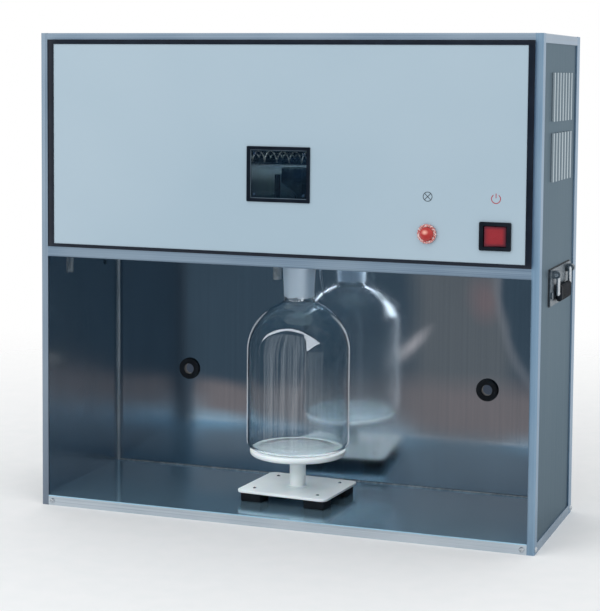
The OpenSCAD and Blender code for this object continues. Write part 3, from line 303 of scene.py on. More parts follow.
def nickel_plate():
    """Bright nickel plate on steel: a mirror with fine polishing haze."""
    made, tree, shader = new_finish("nickel_plate_bright", "#b9bfc4", 1.0, 0.2)
    haze = pattern(tree, 1 / (3 * MM), 4.0)
    wire_in(tree, shader, "Base Color", mottle(tree, haze, 0.35, 0.7, "#aab2b9", "#cdd3d8"))
    vary(tree, shader, "Roughness", haze, 0.3, 0.7, 0.13, 0.3)
    return made


def dull_zinc():
    """Barrel-plated zinc, gone dull: grey satin with a blotchy bloom."""
    made, tree, shader = new_finish("zinc_plate_dull", "#73838e", 1.0, 0.4)
    bloom = pattern(tree, 1 / (5 * MM))
    wire_in(tree, shader, "Base Color", mottle(tree, bloom, 0.35, 0.65, "#53616b", "#68757f"))
    vary(tree, shader, "Roughness", bloom, 0.3, 0.7, 0.3, 0.48)
    return made


def fused_quartz():
    """Clear fused quartz tube: water-clear, with slight draw waves along the glass."""
    made, tree, shader = new_finish("fused_quartz_clear", "#f6fbfd", 0.0, 0.0,
                                    Transmission_Weight=1.0, IOR=1.46)
    waves = pattern(tree, (45, 45, 12), 2.0)
    wire_in(tree, shader, "Base Color", mottle(tree, waves, 0.35, 0.7, "#f7fbfd", "#eef6f9"))
    wire_in(tree, shader, "Normal", add(tree, "Bump", {
        "Strength": 0.35, "Distance": 0.25 * MM, "Height": waves}))
    return made


def chalky_quartz():
    """Quartz tube that tap water has run through: a thin, uneven white film of lime."""
    made, tree, shader = new_finish("fused_quartz_limed", "#eef5f8", 0.0, 0.2,
                                    Transmission_Weight=0.6, IOR=1.46)
    film = pattern(tree, (1 / (4 * MM), 1 / (4 * MM), 1 / (12 * MM)))
    vary(tree, shader, "Transmission Weight", film, 0.35, 0.65, 0.98, 0.8)
    return made


def bottle_quartz(ground_from):
    """Blown quartz bottle: clear, streaked body and a ground, milky neck whose edge is ragged."""
    made, tree, shader = new_finish("blown_quartz_ground_neck", "#f4fafc", 0.0, 0.0,
                                    Transmission_Weight=1.0, IOR=1.46)
    # The grinding tool leaves teeth about 2.5 mm wide along its edge.
    teeth = pattern(tree, (1 / (2.5 * MM), 1 / (2.5 * MM), 1 / (9 * MM)), 2.0)
    depth = add(tree, "MapRange", [teeth, 0.3, 0.7, -1.6 * MM, 1.6 * MM])
    edge = add(tree, "Math", [(place_on_piece(tree), "Z"), depth], operation="ADD")
    soft = 0.3 * MM
    ground = add(tree, "MapRange", [edge, ground_from - soft, ground_from + soft, 0, 1])
    wire_in(tree, shader, "Base Color", add(
        tree, "Mix", [ground, "#f5fafc", "#b3c6d4"], data_type="RGBA"))
    vary(tree, shader, "Roughness", ground, 0, 1, 0.0, 0.55)
    vary(tree, shader, "Transmission Weight", ground, 0, 1, 1.0, 0.4)
    # Upright draw streaks about 6 mm apart.
    streaks = pattern(tree, (1 / (6 * MM), 1 / (6 * MM), 1 / 0.12), 2.0)
    wire_in(tree, shader, "Normal", add(tree, "Bump", {
        "Strength": 0.3, "Distance": 0.25 * MM, "Height": streaks}))
    return made


def window_pane():
    """Float glass with a faint blue tint."""
    made, tree, shader = new_finish("float_glass_pane", "#dcebf2", 0.0, 0.0,
                                    Transmission_Weight=1.0, IOR=1.52)
    cloud = pattern(tree, 40, 2.0)
    wire_in(tree, shader, "Base Color", mottle(tree, cloud, 0.35, 0.7, "#dcebf2", "#d2e4ec"))
    return made


def tinted_lens(name, hex_colour, second, roughness, carry):
    """Moulded polycarbonate lens: glossy, lit through its body."""
    made, tree, shader = new_finish(name, hex_colour, 0.0, roughness, IOR=1.58,
                                    Transmission_Weight=carry)
    cloud = pattern(tree, 180, 2.0)
    wire_in(tree, shader, "Base Color", mottle(tree, cloud, 0.3, 0.7, hex_colour, second))
    return made


def rim_with_painted_glints():
    """Fluted clear polycarbonate over a red lamp: pink and red flutes, with a painted white glint
    on some.
    """
    made, tree, shader = new_finish("polycarbonate_rim_fluted", "#eab6b4", 0.0, 0.15, IOR=1.58,
                                    Transmission_Weight=0.2)
    # The flutes are 2.8 mm apart, and a painted glint takes half of one.
    painted_glints = pattern(tree, 1 / (1.4 * MM), 1.0)
    red = mottle(tree, painted_glints, 0.36, 0.46, "#b8403a", "#e59c98")
    wire_in(tree, shader, "Base Color", mottle(tree, painted_glints, 0.52, 0.6, red, "#fff1ee"))
    return made


def resistance_wire():
    """Nickel-chrome wire after firing: grey metal under a thin brown-black oxide."""
    made, tree, shader = new_finish("nichrome_wire_fired", "#6e6a66", 1.0, 0.3)
    oxide = pattern(tree, 1 / (2 * MM))
    wire_in(tree, shader, "Base Color", mottle(tree, oxide, 0.35, 0.65, "#57524e", "#b3b2ae"))
    return made


def steatite():
    """Dry-pressed steatite: matt ivory ceramic with fine pores."""
    return moulded("steatite_ivory", "#d9d4c4", "#e4dfd0", 0.55, 0.8, 0.03)


def silicone_tube():
    """Translucent silicone hose: cloudy and soft, a little bloom on the skin."""
    made, tree, shader = new_finish("silicone_translucent", "#aab6be", 0.0, 0.42,
                                    Transmission_Weight=0.45, IOR=1.41)
    bloom = pattern(tree, 160)
    wire_in(tree, shader, "Base Color", mottle(tree, bloom, 0.35, 0.7, "#8d9ca6", "#c3cdd4"))
    return made


def printed_ink(name, hex_colour):
    """Screen-printed ink: flat, slightly uneven film."""
    return moulded(name, hex_colour, hex_colour, 0.5, 0.5, 0.005)


def black_abs():
    """Moulded ABS: black, satin, finely grained."""
    return moulded("abs_black_moulded", "#0f151c", "#19212a", 0.45, 0.7, 0.015)


def black_rubber():
    """Nitrile rubber: black and nearly matt."""
    return moulded("nitrile_rubber_black", "#0f151c", "#19212a", 0.6, 0.9, 0.03)


def grip_black():
    """Soft vinyl over the bail: black and dull, worn matt by the hand."""
    made = moulded("vinyl_grip_black", "#0b1219", "#131c25", 0.6, 0.7, 0.015)
    made.node_tree.nodes["Principled BSDF"].inputs["Specular IOR Level"].default_value = 0.2
    return made



# ---------------------------------------------------------------- mesh helpers

def finish_mesh(bm, name, material, body, angle=32.0, stands_for=(), flip_check=True):
    """Turns a bmesh into a scene piece with smooth shading and sharp edges above an angle."""
    bmesh.ops.remove_doubles(bm, verts=bm.verts, dist=0.002 * MM)
    if flip_check:
        bmesh.ops.recalc_face_normals(bm, faces=bm.faces)
    mesh = bpy.data.meshes.new(name)
    bm.to_mesh(mesh)
    bm.free()
    for face in mesh.polygons:
        face.use_smooth = True
    mesh.set_sharp_from_angle(angle=math.radians(angle))
    piece = bpy.data.objects.new(name, mesh)
    bpy.context.scene.collection.objects.link(piece)
    mesh.materials.append(material)
    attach(piece, body)
    if stands_for:
        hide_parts(*stands_for)
    return piece


def arc(cx, cz, r, start, end, steps):
    """Points of an arc in the profile plane, in degrees."""
    return [(cx + r * math.cos(math.radians(start + (end - start) * i / steps)),
             cz + r * math.sin(math.radians(start + (end - start) * i / steps)))
            for i in range(steps + 1)]


def turn_profile(bm, profile, steps, closed=False):
    """Spins a profile of (radius, height) round Z. Returns the new vertices."""
    before = set(bm.verts)
    verts = [bm.verts.new((r, 0, z)) for r, z in profile]
    pairs = list(zip(verts, verts[1:])) + ([(verts[-1], verts[0])] if closed else [])
    edges = [bm.edges.new(pair) for pair in pairs]
    bmesh.ops.spin(bm, geom=verts + edges, cent=(0, 0, 0), axis=(0, 0, 1),
                   angle=math.tau, steps=steps, use_merge=True)
    made = [v for v in bm.verts if v not in before]
    bmesh.ops.remove_doubles(bm, verts=made, dist=0.001 * MM)
    return [v for v in bm.verts if v not in before]


def block(bm, low, high, corner=0.0, edge=0.0, corner_axis=2, segments=3):
    """A box with round corners along one axis and softened edges. Returns its vertices."""
    before = set(bm.verts)
    size = [h - l for l, h in zip(low, high)]
    middle = [(h + l) / 2 for l, h in zip(low, high)]
    bmesh.ops.create_cube(bm, size=1.0)
    made = [v for v in bm.verts if v not in before]
    bmesh.ops.scale(bm, vec=size, verts=made)
    bmesh.ops.translate(bm, vec=middle, verts=made)
    if corner > 0:
        def runs(e):
            d = e.verts[1].co - e.verts[0].co
            return abs(d[corner_axis]) > 0.9 * d.length
        edges = [e for e in bm.edges if e.verts[0] in made and runs(e)]
        bmesh.ops.bevel(bm, geom=edges, offset=corner, segments=5, profile=0.5,
                        affect="EDGES", material=-1)
    if edge > 0:
        now = [v for v in bm.verts if v not in before]
        edges = [e for e in bm.edges if e.verts[0] in now and e.verts[1] in now
                 and e.calc_face_angle(0) > math.radians(40)]
        bmesh.ops.bevel(bm, geom=edges, offset=edge, segments=segments, profile=0.5,
                        affect="EDGES", material=-1)
    return [v for v in bm.verts if v not in before]


def move(bm, verts, matrix):
    """Moves and turns some of the vertices."""
    bmesh.ops.transform(bm, matrix=matrix, verts=verts)


def facing(axis):
    """Turns +Z to another axis."""
    degrees, about = {"-y": (90, "X"), "+y": (-90, "X"), "+x": (90, "Y"), "-x": (-90, "Y"),
                      "+z": (0, "Z")}[axis]
    return Matrix.Rotation(math.radians(degrees), 4, about)


def dress(names, material):
    """Puts a material on CAD nodes, whose meshes stay as they are."""
    for name in names:
        data = frame["nodes"][name].data
        data.materials.clear()
        data.materials.append(material)


def middle_of(node):
    """The middle of a CAD node's box."""
    low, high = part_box(node)
    return (Vector(low) + Vector(high)) / 2


def let_light_through(*pieces):
    """Clear glass throws no hard shadow."""
    for piece in pieces:
        piece.visible_shadow = False


_shared = {}


def shared(key, maker):
    """One finish that several pieces use."""
    if key not in _shared:
        _shared[key] = maker()
    return _shared[key]


# ---------------------------------------------------------------- settings

class StillColours(bpy.types.PropertyGroup):
    """Colours that a user would change."""
    mirrored_dark: FloatVectorProperty(
        name="Studio dark", description="Dark part of the room that the bay's walls reflect",
        subtype="COLOR", size=3, default=linear("#3d4c58")[:3], min=0, max=1)
    mirrored_warm: FloatVectorProperty(
        name="Studio warm", description="Warm band of the room that the bay's walls reflect",
        subtype="COLOR", size=3, default=linear("#7a7273")[:3], min=0, max=1)
    mirrored_grey: FloatVectorProperty(
        name="Studio grey", description="Lit grey part of the room that the bay's walls reflect",
        subtype="COLOR", size=3, default=linear("#62666a")[:3], min=0, max=1)
    mirrored_low: FloatVectorProperty(
        name="Studio low", description="Low part of the room that the bay's walls reflect",
        subtype="COLOR", size=3, default=linear("#90a9b8")[:3], min=0, max=1)


class StillSizes(bpy.types.PropertyGroup):
    """Sizes that a user would change."""
    soft_edge: FloatProperty(
        name="Soft edge", description="Rounding of moulded edges",
        subtype="DISTANCE", unit="LENGTH", default=0.5 * MM, min=0.1 * MM, max=1.5 * MM)
    ground_length: FloatProperty(
        name="Ground length", description="Length of the ground, milky part of the bottle neck",
        subtype="DISTANCE", unit="LENGTH", default=40 * MM, min=10 * MM, max=42 * MM)
    turn_steps: IntProperty(
        name="Turn steps", description="Steps round each turned piece", default=96, min=32, max=160)
    key_power: FloatProperty(
        name="Key light", description="Power of the large soft light at the front left",
        subtype="POWER", unit="POWER", default=16.0, min=0, max=400)
    fill_power: FloatProperty(
        name="Fill light", description="Power of the overhead soft light",
        subtype="POWER", unit="POWER", default=7.0, min=0, max=400)
    bay_power: FloatProperty(
        name="Bay light",
        description="Power of the light at the front that only the bottle stand takes",
        subtype="POWER", unit="POWER", default=7.0, min=0, max=200)
    boiler_power: FloatProperty(
        name="Boiler light",
        description="Power of the light that only the boiler behind the window takes",
        subtype="POWER", unit="POWER", default=60.0, min=0, max=400)
    window_power: FloatProperty(
        name="Window light",
        description="Strength of the window that the bottle's shoulder mirrors",
        default=14.0, min=0, max=60)
    world_light: FloatProperty(
        name="Room light", description="Strength of the even light from all round",
        default=0.88, min=0, max=2)


def sizes():
    """The sizes and powers that are set."""
    return bpy.context.scene.still_sizes


def colours():
    """The colours that are set."""
    return bpy.context.scene.still_colours


# ---------------------------------------------------------------- cabinet

class STILL_OT_angles(bpy.types.Operator):
    """Finishes the aluminium angles, with the die lines along each bar"""
    bl_idname = "still.angles"
    bl_label = "Aluminium angles"

    def execute(self, context):
        plain = ("#75899c", "#9aaec0", "#a6b6c4")
        dress(["front_post_left"], extruded_aluminium("greyer_foot", "z", *plain, greyer_foot=True))
        # Painted shade: a darker copy of the same angle for these posts.
        dress(["front_post_right", "rear_post_left", "rear_post_right"],
              extruded_aluminium("upright", "z", "#67859f", "#89a5bd", "#93abbf"))
        dress(["top_rail_front", "top_rail_rear"], extruded_aluminium("level", "x", *plain))
        # Painted shade: a darker copy of the same angle for the mid rail.
        dress(["mid_rail"], extruded_aluminium("middle", "x", "#667b90", "#8a9fb2", "#97a9b8"))
        # Painted light: a paler copy of the same angle for the base rails.
        dress(["base_rail_front", "base_rail_rear"],
              extruded_aluminium("low", "x", "#a9b7c3", "#ccd6de", "#d6dde3"))
        dress(["top_rail_left", "top_rail_right", "base_rail_left", "base_rail_right"],
              extruded_aluminium("side", "y", *plain))
        return {"FINISHED"}


class STILL_OT_sheets(bpy.types.Operator):
    """Finishes the stainless sheets, brushed outside and mirror-bright in the bay"""
    bl_idname = "still.sheets"
    bl_label = "Stainless sheets"

    def execute(self, context):
        # Pressed hoods stand 14.5 mm apart along the depth. The bay's side walls are duller.
        first_hood, hood_pitch = 7 * MM - 3.75 * MM, 14.5 * MM
        for side, sign in (("right", 1), ("left", -1)):
            # The noses of the hoods get a painted highlight.
            hood_highlight = (sign * (SKIN + 0.3 * MM), sign * (SKIN + 0.8 * MM), first_hood, hood_pitch)
            dress(["side_panel_" + side], stainless_sheet(
                "stainless_side_" + side, 0, sign * (SKIN - 0.2 * MM), sign * (SKIN - 0.6 * MM),
                (0.16, 0.28), ("#b2bec8", "#bac5cd"), 0.0, hood_highlight))
        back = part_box("rear_panel")[1][1]
        dress(["rear_panel"], stainless_sheet(
            "stainless_rear", 1, back - 0.2 * MM, back - 0.6 * MM, bulge=(0.183, 0.363)))
        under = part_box("bay_floor")[0][2]
        dress(["bay_floor", "boiler_shelf"], stainless_sheet(
            "stainless_bay_deck", 2, under - 2 * MM, under - 1 * MM, (0.10, 0.2),
            ("#aedaf3", "#b8e0f6"), 0.18))
        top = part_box("top_panel")[0][2]
        dress(["top_panel"], stainless_sheet("stainless_top", 2, top + 0.8 * MM, top + 0.2 * MM))
        dress(["base_plate"], stainless_sheet("stainless_base", 2, 2 * MM, 3 * MM))
        self.bends()
        return {"FINISHED"}

    def bends(self):
        """The upright bends at the bay's rear corners, and the low one along its rear edge."""
        deck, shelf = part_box("bay_floor")[1][2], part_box("boiler_shelf")[0][2]
        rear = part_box("rear_panel")[0][1]
        wall, bend, thick = SKIN - 1 * MM, 2.4 * MM, 0.6 * MM
        lip = rear - 1 * MM
        finish = shared("bend_highlight", bend_highlight)
        for side, sign in (("left", -1), ("right", 1)):
            bm = bmesh.new()
            outline = [(wall, lip - bend), (wall - thick, lip - bend)]
            outline += arc(wall - bend, lip - bend, bend - thick, 0, 90, 8)
            outline += [(wall - bend, lip)]
            outline += arc(wall - bend, lip - bend, bend, 90, 0, 8)
            foot = [bm.verts.new((sign * x, y, deck)) for x, y in outline]
            face = bm.faces.new(foot)
            tall = bmesh.ops.extrude_face_region(bm, geom=[face])["geom"]
            raised = [g for g in tall if isinstance(g, bmesh.types.BMVert)]
            bmesh.ops.translate(bm, verts=raised, vec=(0, 0, shelf - deck))
            finish_mesh(bm, "bay_corner_bend_" + side, finish, "cabinet")
        bm = bmesh.new()
        block(bm, (-wall + bend, rear - 1.6 * MM, deck),
              (wall - bend, rear - 0.4 * MM, deck + 1.5 * MM), edge=0.3 * MM)
        finish_mesh(bm, "bay_rear_bend", finish, "cabinet")


class STILL_OT_front_panel(bpy.types.Operator):
    """Finishes the enamelled front panel and its border, and prints two plain pictograms"""
    bl_idname = "still.front_panel"
    bl_label = "Front panel"

    def execute(self, context):
        dress(["front_panel"], enamelled_panel())
        dress(["panel_border"], moulded(
            "border_tape_black", "#0b1524", "#121e2e", 0.45, 0.8, 0.01))
        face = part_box("front_panel")[0][1]
        lamp, switch = middle_of("lamp_lens"), middle_of("switch_rocker")
        height = lamp.z + 38 * MM
        outer, film = 5.0 * MM, 0.12 * MM
        # A lamp sign: a ring with a cross in it.
        inner = 4.4 * MM
        bm = bmesh.new()
        ring = turn_profile(bm, [(inner, 0), (outer, 0), (outer, film), (inner, film)], 64, True)
        move(bm, ring, facing("-y"))
        for turn in (45, -45):
            bar = block(bm, (-4.5 * MM, -film, -0.3 * MM), (4.5 * MM, -0.02 * MM, 0.3 * MM))
            move(bm, bar, Matrix.Rotation(math.radians(turn), 4, "Y"))
        move(bm, bm.verts, Matrix.Translation((lamp.x, face, height)))
        finish_mesh(bm, "lamp_pictogram", printed_ink("ink_black", "#1a1d22"), "cabinet")
        # A mains sign: an open ring with an upright bar in the opening, which is 72 degrees wide.
        inner, opening = 4.2 * MM, 72
        bm = bmesh.new()
        profile = [(inner, 0), (outer, 0), (outer, film), (inner, film)]
        section = bm.faces.new([bm.verts.new((r, 0, z)) for r, z in profile])
        start = Matrix.Rotation(math.radians(90 + opening / 2), 3, "Z")
        bmesh.ops.rotate(bm, verts=bm.verts, cent=(0, 0, 0), matrix=start)
        bmesh.ops.spin(bm, geom=[section], cent=(0, 0, 0), axis=(0, 0, 1),
                       angle=math.radians(360 - opening), steps=60)
        move(bm, bm.verts, facing("-y"))
        block(bm, (-0.4 * MM, -film, 0.6 * MM), (0.4 * MM, -0.02 * MM, 5.4 * MM))
        move(bm, bm.verts, Matrix.Translation((switch.x, face, height)))
        finish_mesh(bm, "mains_pictogram", printed_ink("ink_red", "#b3303a"), "cabinet")
        return {"FINISHED"}


class STILL_OT_window(bpy.types.Operator):
    """Finishes the window and adds its gasket and slotted screws"""
    bl_idname = "still.window"
    bl_label = "Window"

    def execute(self, context):
        dress(["window_frame"], moulded("window_frame_black", "#0a121e", "#121b28", 0.4, 0.8, 0.01))
        dress(["window_glass"], window_pane())
        let_light_through(frame["nodes"]["window_glass"])
        low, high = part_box("window_frame")
        glass_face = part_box("window_glass")[0][1]
        bar, wide = 3.6 * MM, 0.6 * MM
        x0, x1, z0, z1 = low[0] + bar, high[0] - bar, low[2] + bar, high[2] - bar
        y0, y1 = glass_face - 0.9 * MM, glass_face - 0.05 * MM
        bm = bmesh.new()
        block(bm, (x0, y0, z1 - wide), (x1, y1, z1))
        block(bm, (x0, y0, z0), (x1, y1, z0 + wide))
        block(bm, (x0, y0, z0 + wide), (x0 + wide, y1, z1 - wide))
        block(bm, (x1 - wide, y0, z0 + wide), (x1, y1, z1 - wide))
        grey = moulded("gasket_grey_silicone", "#5f7484", "#718494", 0.4, 0.6, 0.01)
        finish_mesh(bm, "window_gasket", grey, "cabinet")
        inset = 4 * MM
        places = [((x, glass_face, z), "-y")
                  for x in (x0 + inset, x1 - inset) for z in (z0 + inset, z1 - inset)]
        slotted_heads("window_screw_heads", ["window_screws"], places, 3.6 * MM, 1.26 * MM,
                      2.4 * MM, "cabinet")
        return {"FINISHED"}


def slotted_heads(name, stands_for, places, width, height, shank, body, cross=False):
    """Pan heads with a driver slot, all in one piece. Each place is a point and an axis."""
    bm = bmesh.new()
    r = width / 2
    ball = (r * r + height * height) / (2 * height)
    half = math.degrees(math.asin(r / ball))
    dome = arc(0, height - ball, ball, 90, 90 - half, 7)
    slot_wide, slot_deep = max(0.16 * width, 0.5 * MM), 0.42 * height
    for index, (point, axis) in enumerate(places):
        verts = turn_profile(bm, dome + [(r * 0.5, 0), (r * 0.45, -shank), (0, -shank)], 28)
        # No two screws stop at the same angle.
        turn = Matrix.Rotation(math.radians(35 + 47 * index), 4, "Z")
        for quarter in ((0, 90) if cross else (0,)):
            cut_slot(bm, verts, slot_wide, height - slot_deep, quarter)
            verts = grown(verts)
        move(bm, verts, Matrix.Translation(point) @ facing(axis) @ turn)
    return finish_mesh(bm, name, shared("nickel_plate", nickel_plate), body,
                       stands_for=stands_for, flip_check=False)


def grown(verts):
    """The given vertices with all that are joined to them."""
    seen = {v for v in verts if v.is_valid}
    stack = list(seen)
    while stack:
        for edge in stack.pop().link_edges:
            for other in edge.verts:
                if other not in seen:
                    seen.add(other)
                    stack.append(other)
    return list(seen)


def cut_slot(bm, verts, wide, floor, turn):
    """Presses a straight slot into a head: cuts at both walls, then sinks what lies between."""
    whole = grown(verts)
    side = Matrix.Rotation(math.radians(turn), 3, "Z") @ Vector((1, 0, 0))
    for step in (-0.62, -0.5, 0.5, 0.62):
        edges = list({e for v in whole for e in v.link_edges})
        faces = list({f for v in whole for f in v.link_faces})
        bmesh.ops.bisect_plane(bm, geom=whole + edges + faces, dist=1e-7,
                               plane_co=side * wide * step, plane_no=side)
        whole = grown(whole)
    for v in whole:
        if abs(v.co.dot(side)) <= wide * 0.51 and v.co.z > floor:
            v.co.z = floor


class STILL_OT_lamp(bpy.types.Operator):
    """Builds the pilot lamp: a fluted clear-pink rim, a red dome and its body behind"""
    bl_idname = "still.lamp"
    bl_label = "Pilot lamp"

    def execute(self, context):
        low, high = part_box("lamp_lens")
        centre = middle_of("lamp_lens")
        seat = high[1]
        rim = (high[0] - low[0]) / 2
        place = Matrix.Translation((centre.x, seat, centre.z)) @ facing("-y")
        flutes, thick, round_r = 20, 3.0 * MM, 0.9 * MM
        bm = bmesh.new()
        outline = ([(7.2 * MM, 0.05 * MM), (rim - 0.35 * MM, 0.05 * MM), (rim, 0.4 * MM)]
                   + [(rim, thick - round_r)]
                   + arc(rim - round_r, thick - round_r, round_r, 20, 90, 4)
                   + [(7.6 * MM, thick - 0.1 * MM), (7.2 * MM, thick - 0.5 * MM)])
        verts = turn_profile(bm, outline, flutes * 8, True)
        # The flutes run in over the outer 1.6 mm and take up to 7.5 % of the radius.
        fluted, deep = 1.6 * MM, 0.075
        for v in verts:
            out = math.hypot(v.co.x, v.co.y)
            if out > rim - fluted:
                wave = abs(math.sin(flutes * math.atan2(v.co.y, v.co.x) / 2 + math.pi / 2))
                share = min(1, (out - rim + fluted) / fluted)
                scale = 1 - share * deep * (1 - wave ** 0.7)
                v.co.x *= scale
                v.co.y *= scale
        move(bm, verts, place)
        finish_mesh(bm, "lamp_fluted_rim", rim_with_painted_glints(), "cabinet",
                    stands_for=("lamp_lens",), angle=50)
        bm = bmesh.new()
        dome_r, cap = 7.1 * MM, 4.0 * MM
        ball = (dome_r ** 2 + cap ** 2) / (2 * cap)
        half = math.degrees(math.asin(dome_r / ball))
        outline = ([(0, 0.1 * MM), (dome_r, 0.1 * MM), (dome_r, thick + 0.9 * MM)]
                   + arc(0, thick + 0.95 * MM + cap - ball, ball, 90 - half, 90, 10))
        verts = turn_profile(bm, outline, 64)
        move(bm, verts, place)
        red = tinted_lens("polycarbonate_dome_red", "#b53a36", "#c74a44", 0.08, 0.1)
        # A painted highlight: a pale spot above the middle of the dome.
        tree = red.node_tree
        where = add(tree, "TexCoord")
        dome_highlight = patch_of(tree, (where, "Object"), (centre.x - 0.6 * MM, centre.z + 2 * MM),
                        (2.4 * MM, 1.8 * MM), 0, 0.7, True)
        tint(tree, tree.nodes["Principled BSDF"], dome_highlight, second="#ffb9a8")
        finish_mesh(bm, "lamp_red_dome", red, "cabinet")
        dress(["lamp_body"], shared("abs_black", black_abs))
        return {"FINISHED"}


class STILL_OT_switch(bpy.types.Operator):
    """Builds the rocker switch: a bezel with soft edges, its body, blades and the red rocker"""
    bl_idname = "still.switch"
    bl_label = "Rocker switch"

    def execute(self, context):
        low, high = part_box("switch_housing")
        cx, cz = (low[0] + high[0]) / 2, (low[2] + high[2]) / 2
        # Half sizes of the rocker, and of the hole round it with its gaps.
        key_w, key_h = 11.2 * MM, 10.25 * MM
        self.bezel(low, high, cx, cz, key_w + 0.7 * MM, key_h + 0.35 * MM)
        self.rocker(cx, cz, key_w, key_h)
        return {"FINISHED"}

    def bezel(self, low, high, cx, cz, half_w, half_h):
        """The bezel with its body and blades behind the panel."""
        soft = sizes().soft_edge
        panel_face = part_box("front_panel")[0][1]
        front = low[1]
        outer_x, outer_z = (high[0] - low[0]) / 2, (high[2] - low[2]) / 2

        def corners_of(x, z):
            return [(-x, -z), (x, -z), (x, z), (-x, z)]
        outline, hole = corners_of(outer_x, outer_z), corners_of(half_w, half_h)
        bm = bmesh.new()
        rings = []
        for points, y in ((outline, panel_face), (outline, front),
                          (hole, front), (hole, panel_face)):
            rings.append([bm.verts.new((cx + x, y, cz + z)) for x, z in points])
        for ring in rings:
            for k in range(4):
                bm.edges.new((ring[k], ring[(k + 1) % 4]))
        for pair in zip(rings, rings[1:] + rings[:1]):
            edges = [bm.edges.get((r[k], r[(k + 1) % 4])) for r in pair for k in range(4)]
            bmesh.ops.bridge_loops(bm, edges=edges)
        bmesh.ops.recalc_face_normals(bm, faces=bm.faces)
        corners = [e for e in bm.edges
                   if abs((e.verts[1].co - e.verts[0].co).y) > 0.9 * e.calc_length()
                   and abs(e.verts[0].co.x - cx) > half_w + 1 * MM]
        bmesh.ops.bevel(bm, geom=corners, offset=1.5 * MM, segments=4, profile=0.5,
                        affect="EDGES", material=-1)
        lips = [e for e in bm.edges if all(abs(v.co.y - front) < 1e-6 for v in e.verts)
                and e.calc_face_angle(0) > 1.0]
        bmesh.ops.bevel(bm, geom=lips, offset=soft, segments=3, profile=0.5,
                        affect="EDGES", material=-1)
        # Body behind the panel: an open box with its blades.
        body_w, body_h = outer_x - 1.5 * MM, outer_z - 1.5 * MM
        back = high[1] - 8 * MM
        wall = [((-body_w, -body_h), (body_w, -half_h)), ((-body_w, half_h), (body_w, body_h)),
                ((-body_w, -half_h), (-half_w, half_h)), ((half_w, -half_h), (body_w, half_h))]
        well = panel_face + 9.8 * MM
        for (x0, z0), (x1, z1) in wall:
            block(bm, (cx + x0, panel_face, cz + z0), (cx + x1, well, cz + z1))
        block(bm, (cx - body_w, well, cz - body_h), (cx + body_w, back, cz + body_h), edge=soft)
        finish_mesh(bm, "switch_bezel_and_body", shared("abs_black", black_abs), "cabinet",
                    stands_for=("switch_housing",))
        bm = bmesh.new()
        # Blades are 6.3 by 0.8 mm, 16 mm apart across and 12 mm apart up.
        for x in (-8, 8):
            for z in (-6, 6):
                block(bm, (cx + (x - 3.15) * MM, back, cz + (z - 0.4) * MM),
                      (cx + (x + 3.15) * MM, high[1], cz + (z + 0.4) * MM), edge=0.2 * MM)
        brass = moulded("brass_blades", "#b59a5a", "#c7ad6c", 0.3, 0.6, 0.005)
        brass.node_tree.nodes["Principled BSDF"].inputs["Metallic"].default_value = 1.0
        finish_mesh(bm, "switch_blades", brass, "cabinet")

    def rocker(self, cx, cz, w, h):
        """The rocker: a V-shaped face, softened, tilted by 8 degrees about its pins."""
        tilt, pin_r, pin_out = math.radians(8), 1.5 * MM, 1.7 * MM
        mid, foot = 2.6 * MM, 6 * MM
        rise = w * math.tan(tilt)
        side = [(-w, -mid - rise), (0, -mid), (w, -mid - rise), (w, 1 * MM), (4 * MM, foot),
                (-4 * MM, foot), (-w, 1 * MM)]
        bm = bmesh.new()
        base = bm.faces.new([bm.verts.new((x, y, -h)) for x, y in side])
        raised = bmesh.ops.extrude_face_region(bm, geom=[base])["geom"]
        bmesh.ops.translate(bm, vec=(0, 0, 2 * h),
                            verts=[g for g in raised if isinstance(g, bmesh.types.BMVert)])
        bmesh.ops.recalc_face_normals(bm, faces=bm.faces)
        rim = [e for e in bm.edges if e.calc_face_angle(0) > math.radians(25)]
        bmesh.ops.bevel(bm, geom=rim, offset=0.9 * MM, segments=4, profile=0.5,
                        affect="EDGES", material=-1)
        end = h + pin_out
        turn_profile(bm, [(0, -end), (pin_r, -end), (pin_r, end), (0, end)], 24)
        move(bm, bm.verts, Matrix.Translation((cx, PIN_Y, cz)) @ Matrix.Rotation(tilt, 4, "Z"))
        red = moulded("polycarbonate_rocker_red", "#94222c", "#a22831", 0.34, 0.7, 0.008)
        # Painted shade: the key is drawn dark towards its edge, in the bezel's recess, and red in
        # the middle.
        tree = red.node_tree
        where = add(tree, "TexCoord")
        middle = patch_of(tree, (where, "Object"), (cx, cz), (9.2 * MM, 8.4 * MM), 0, 0.22)
        tint(tree, tree.nodes["Principled BSDF"], middle, first="#57202e")
        finish_mesh(bm, "switch_red_rocker", red, "rocker", stands_for=("switch_rocker",))


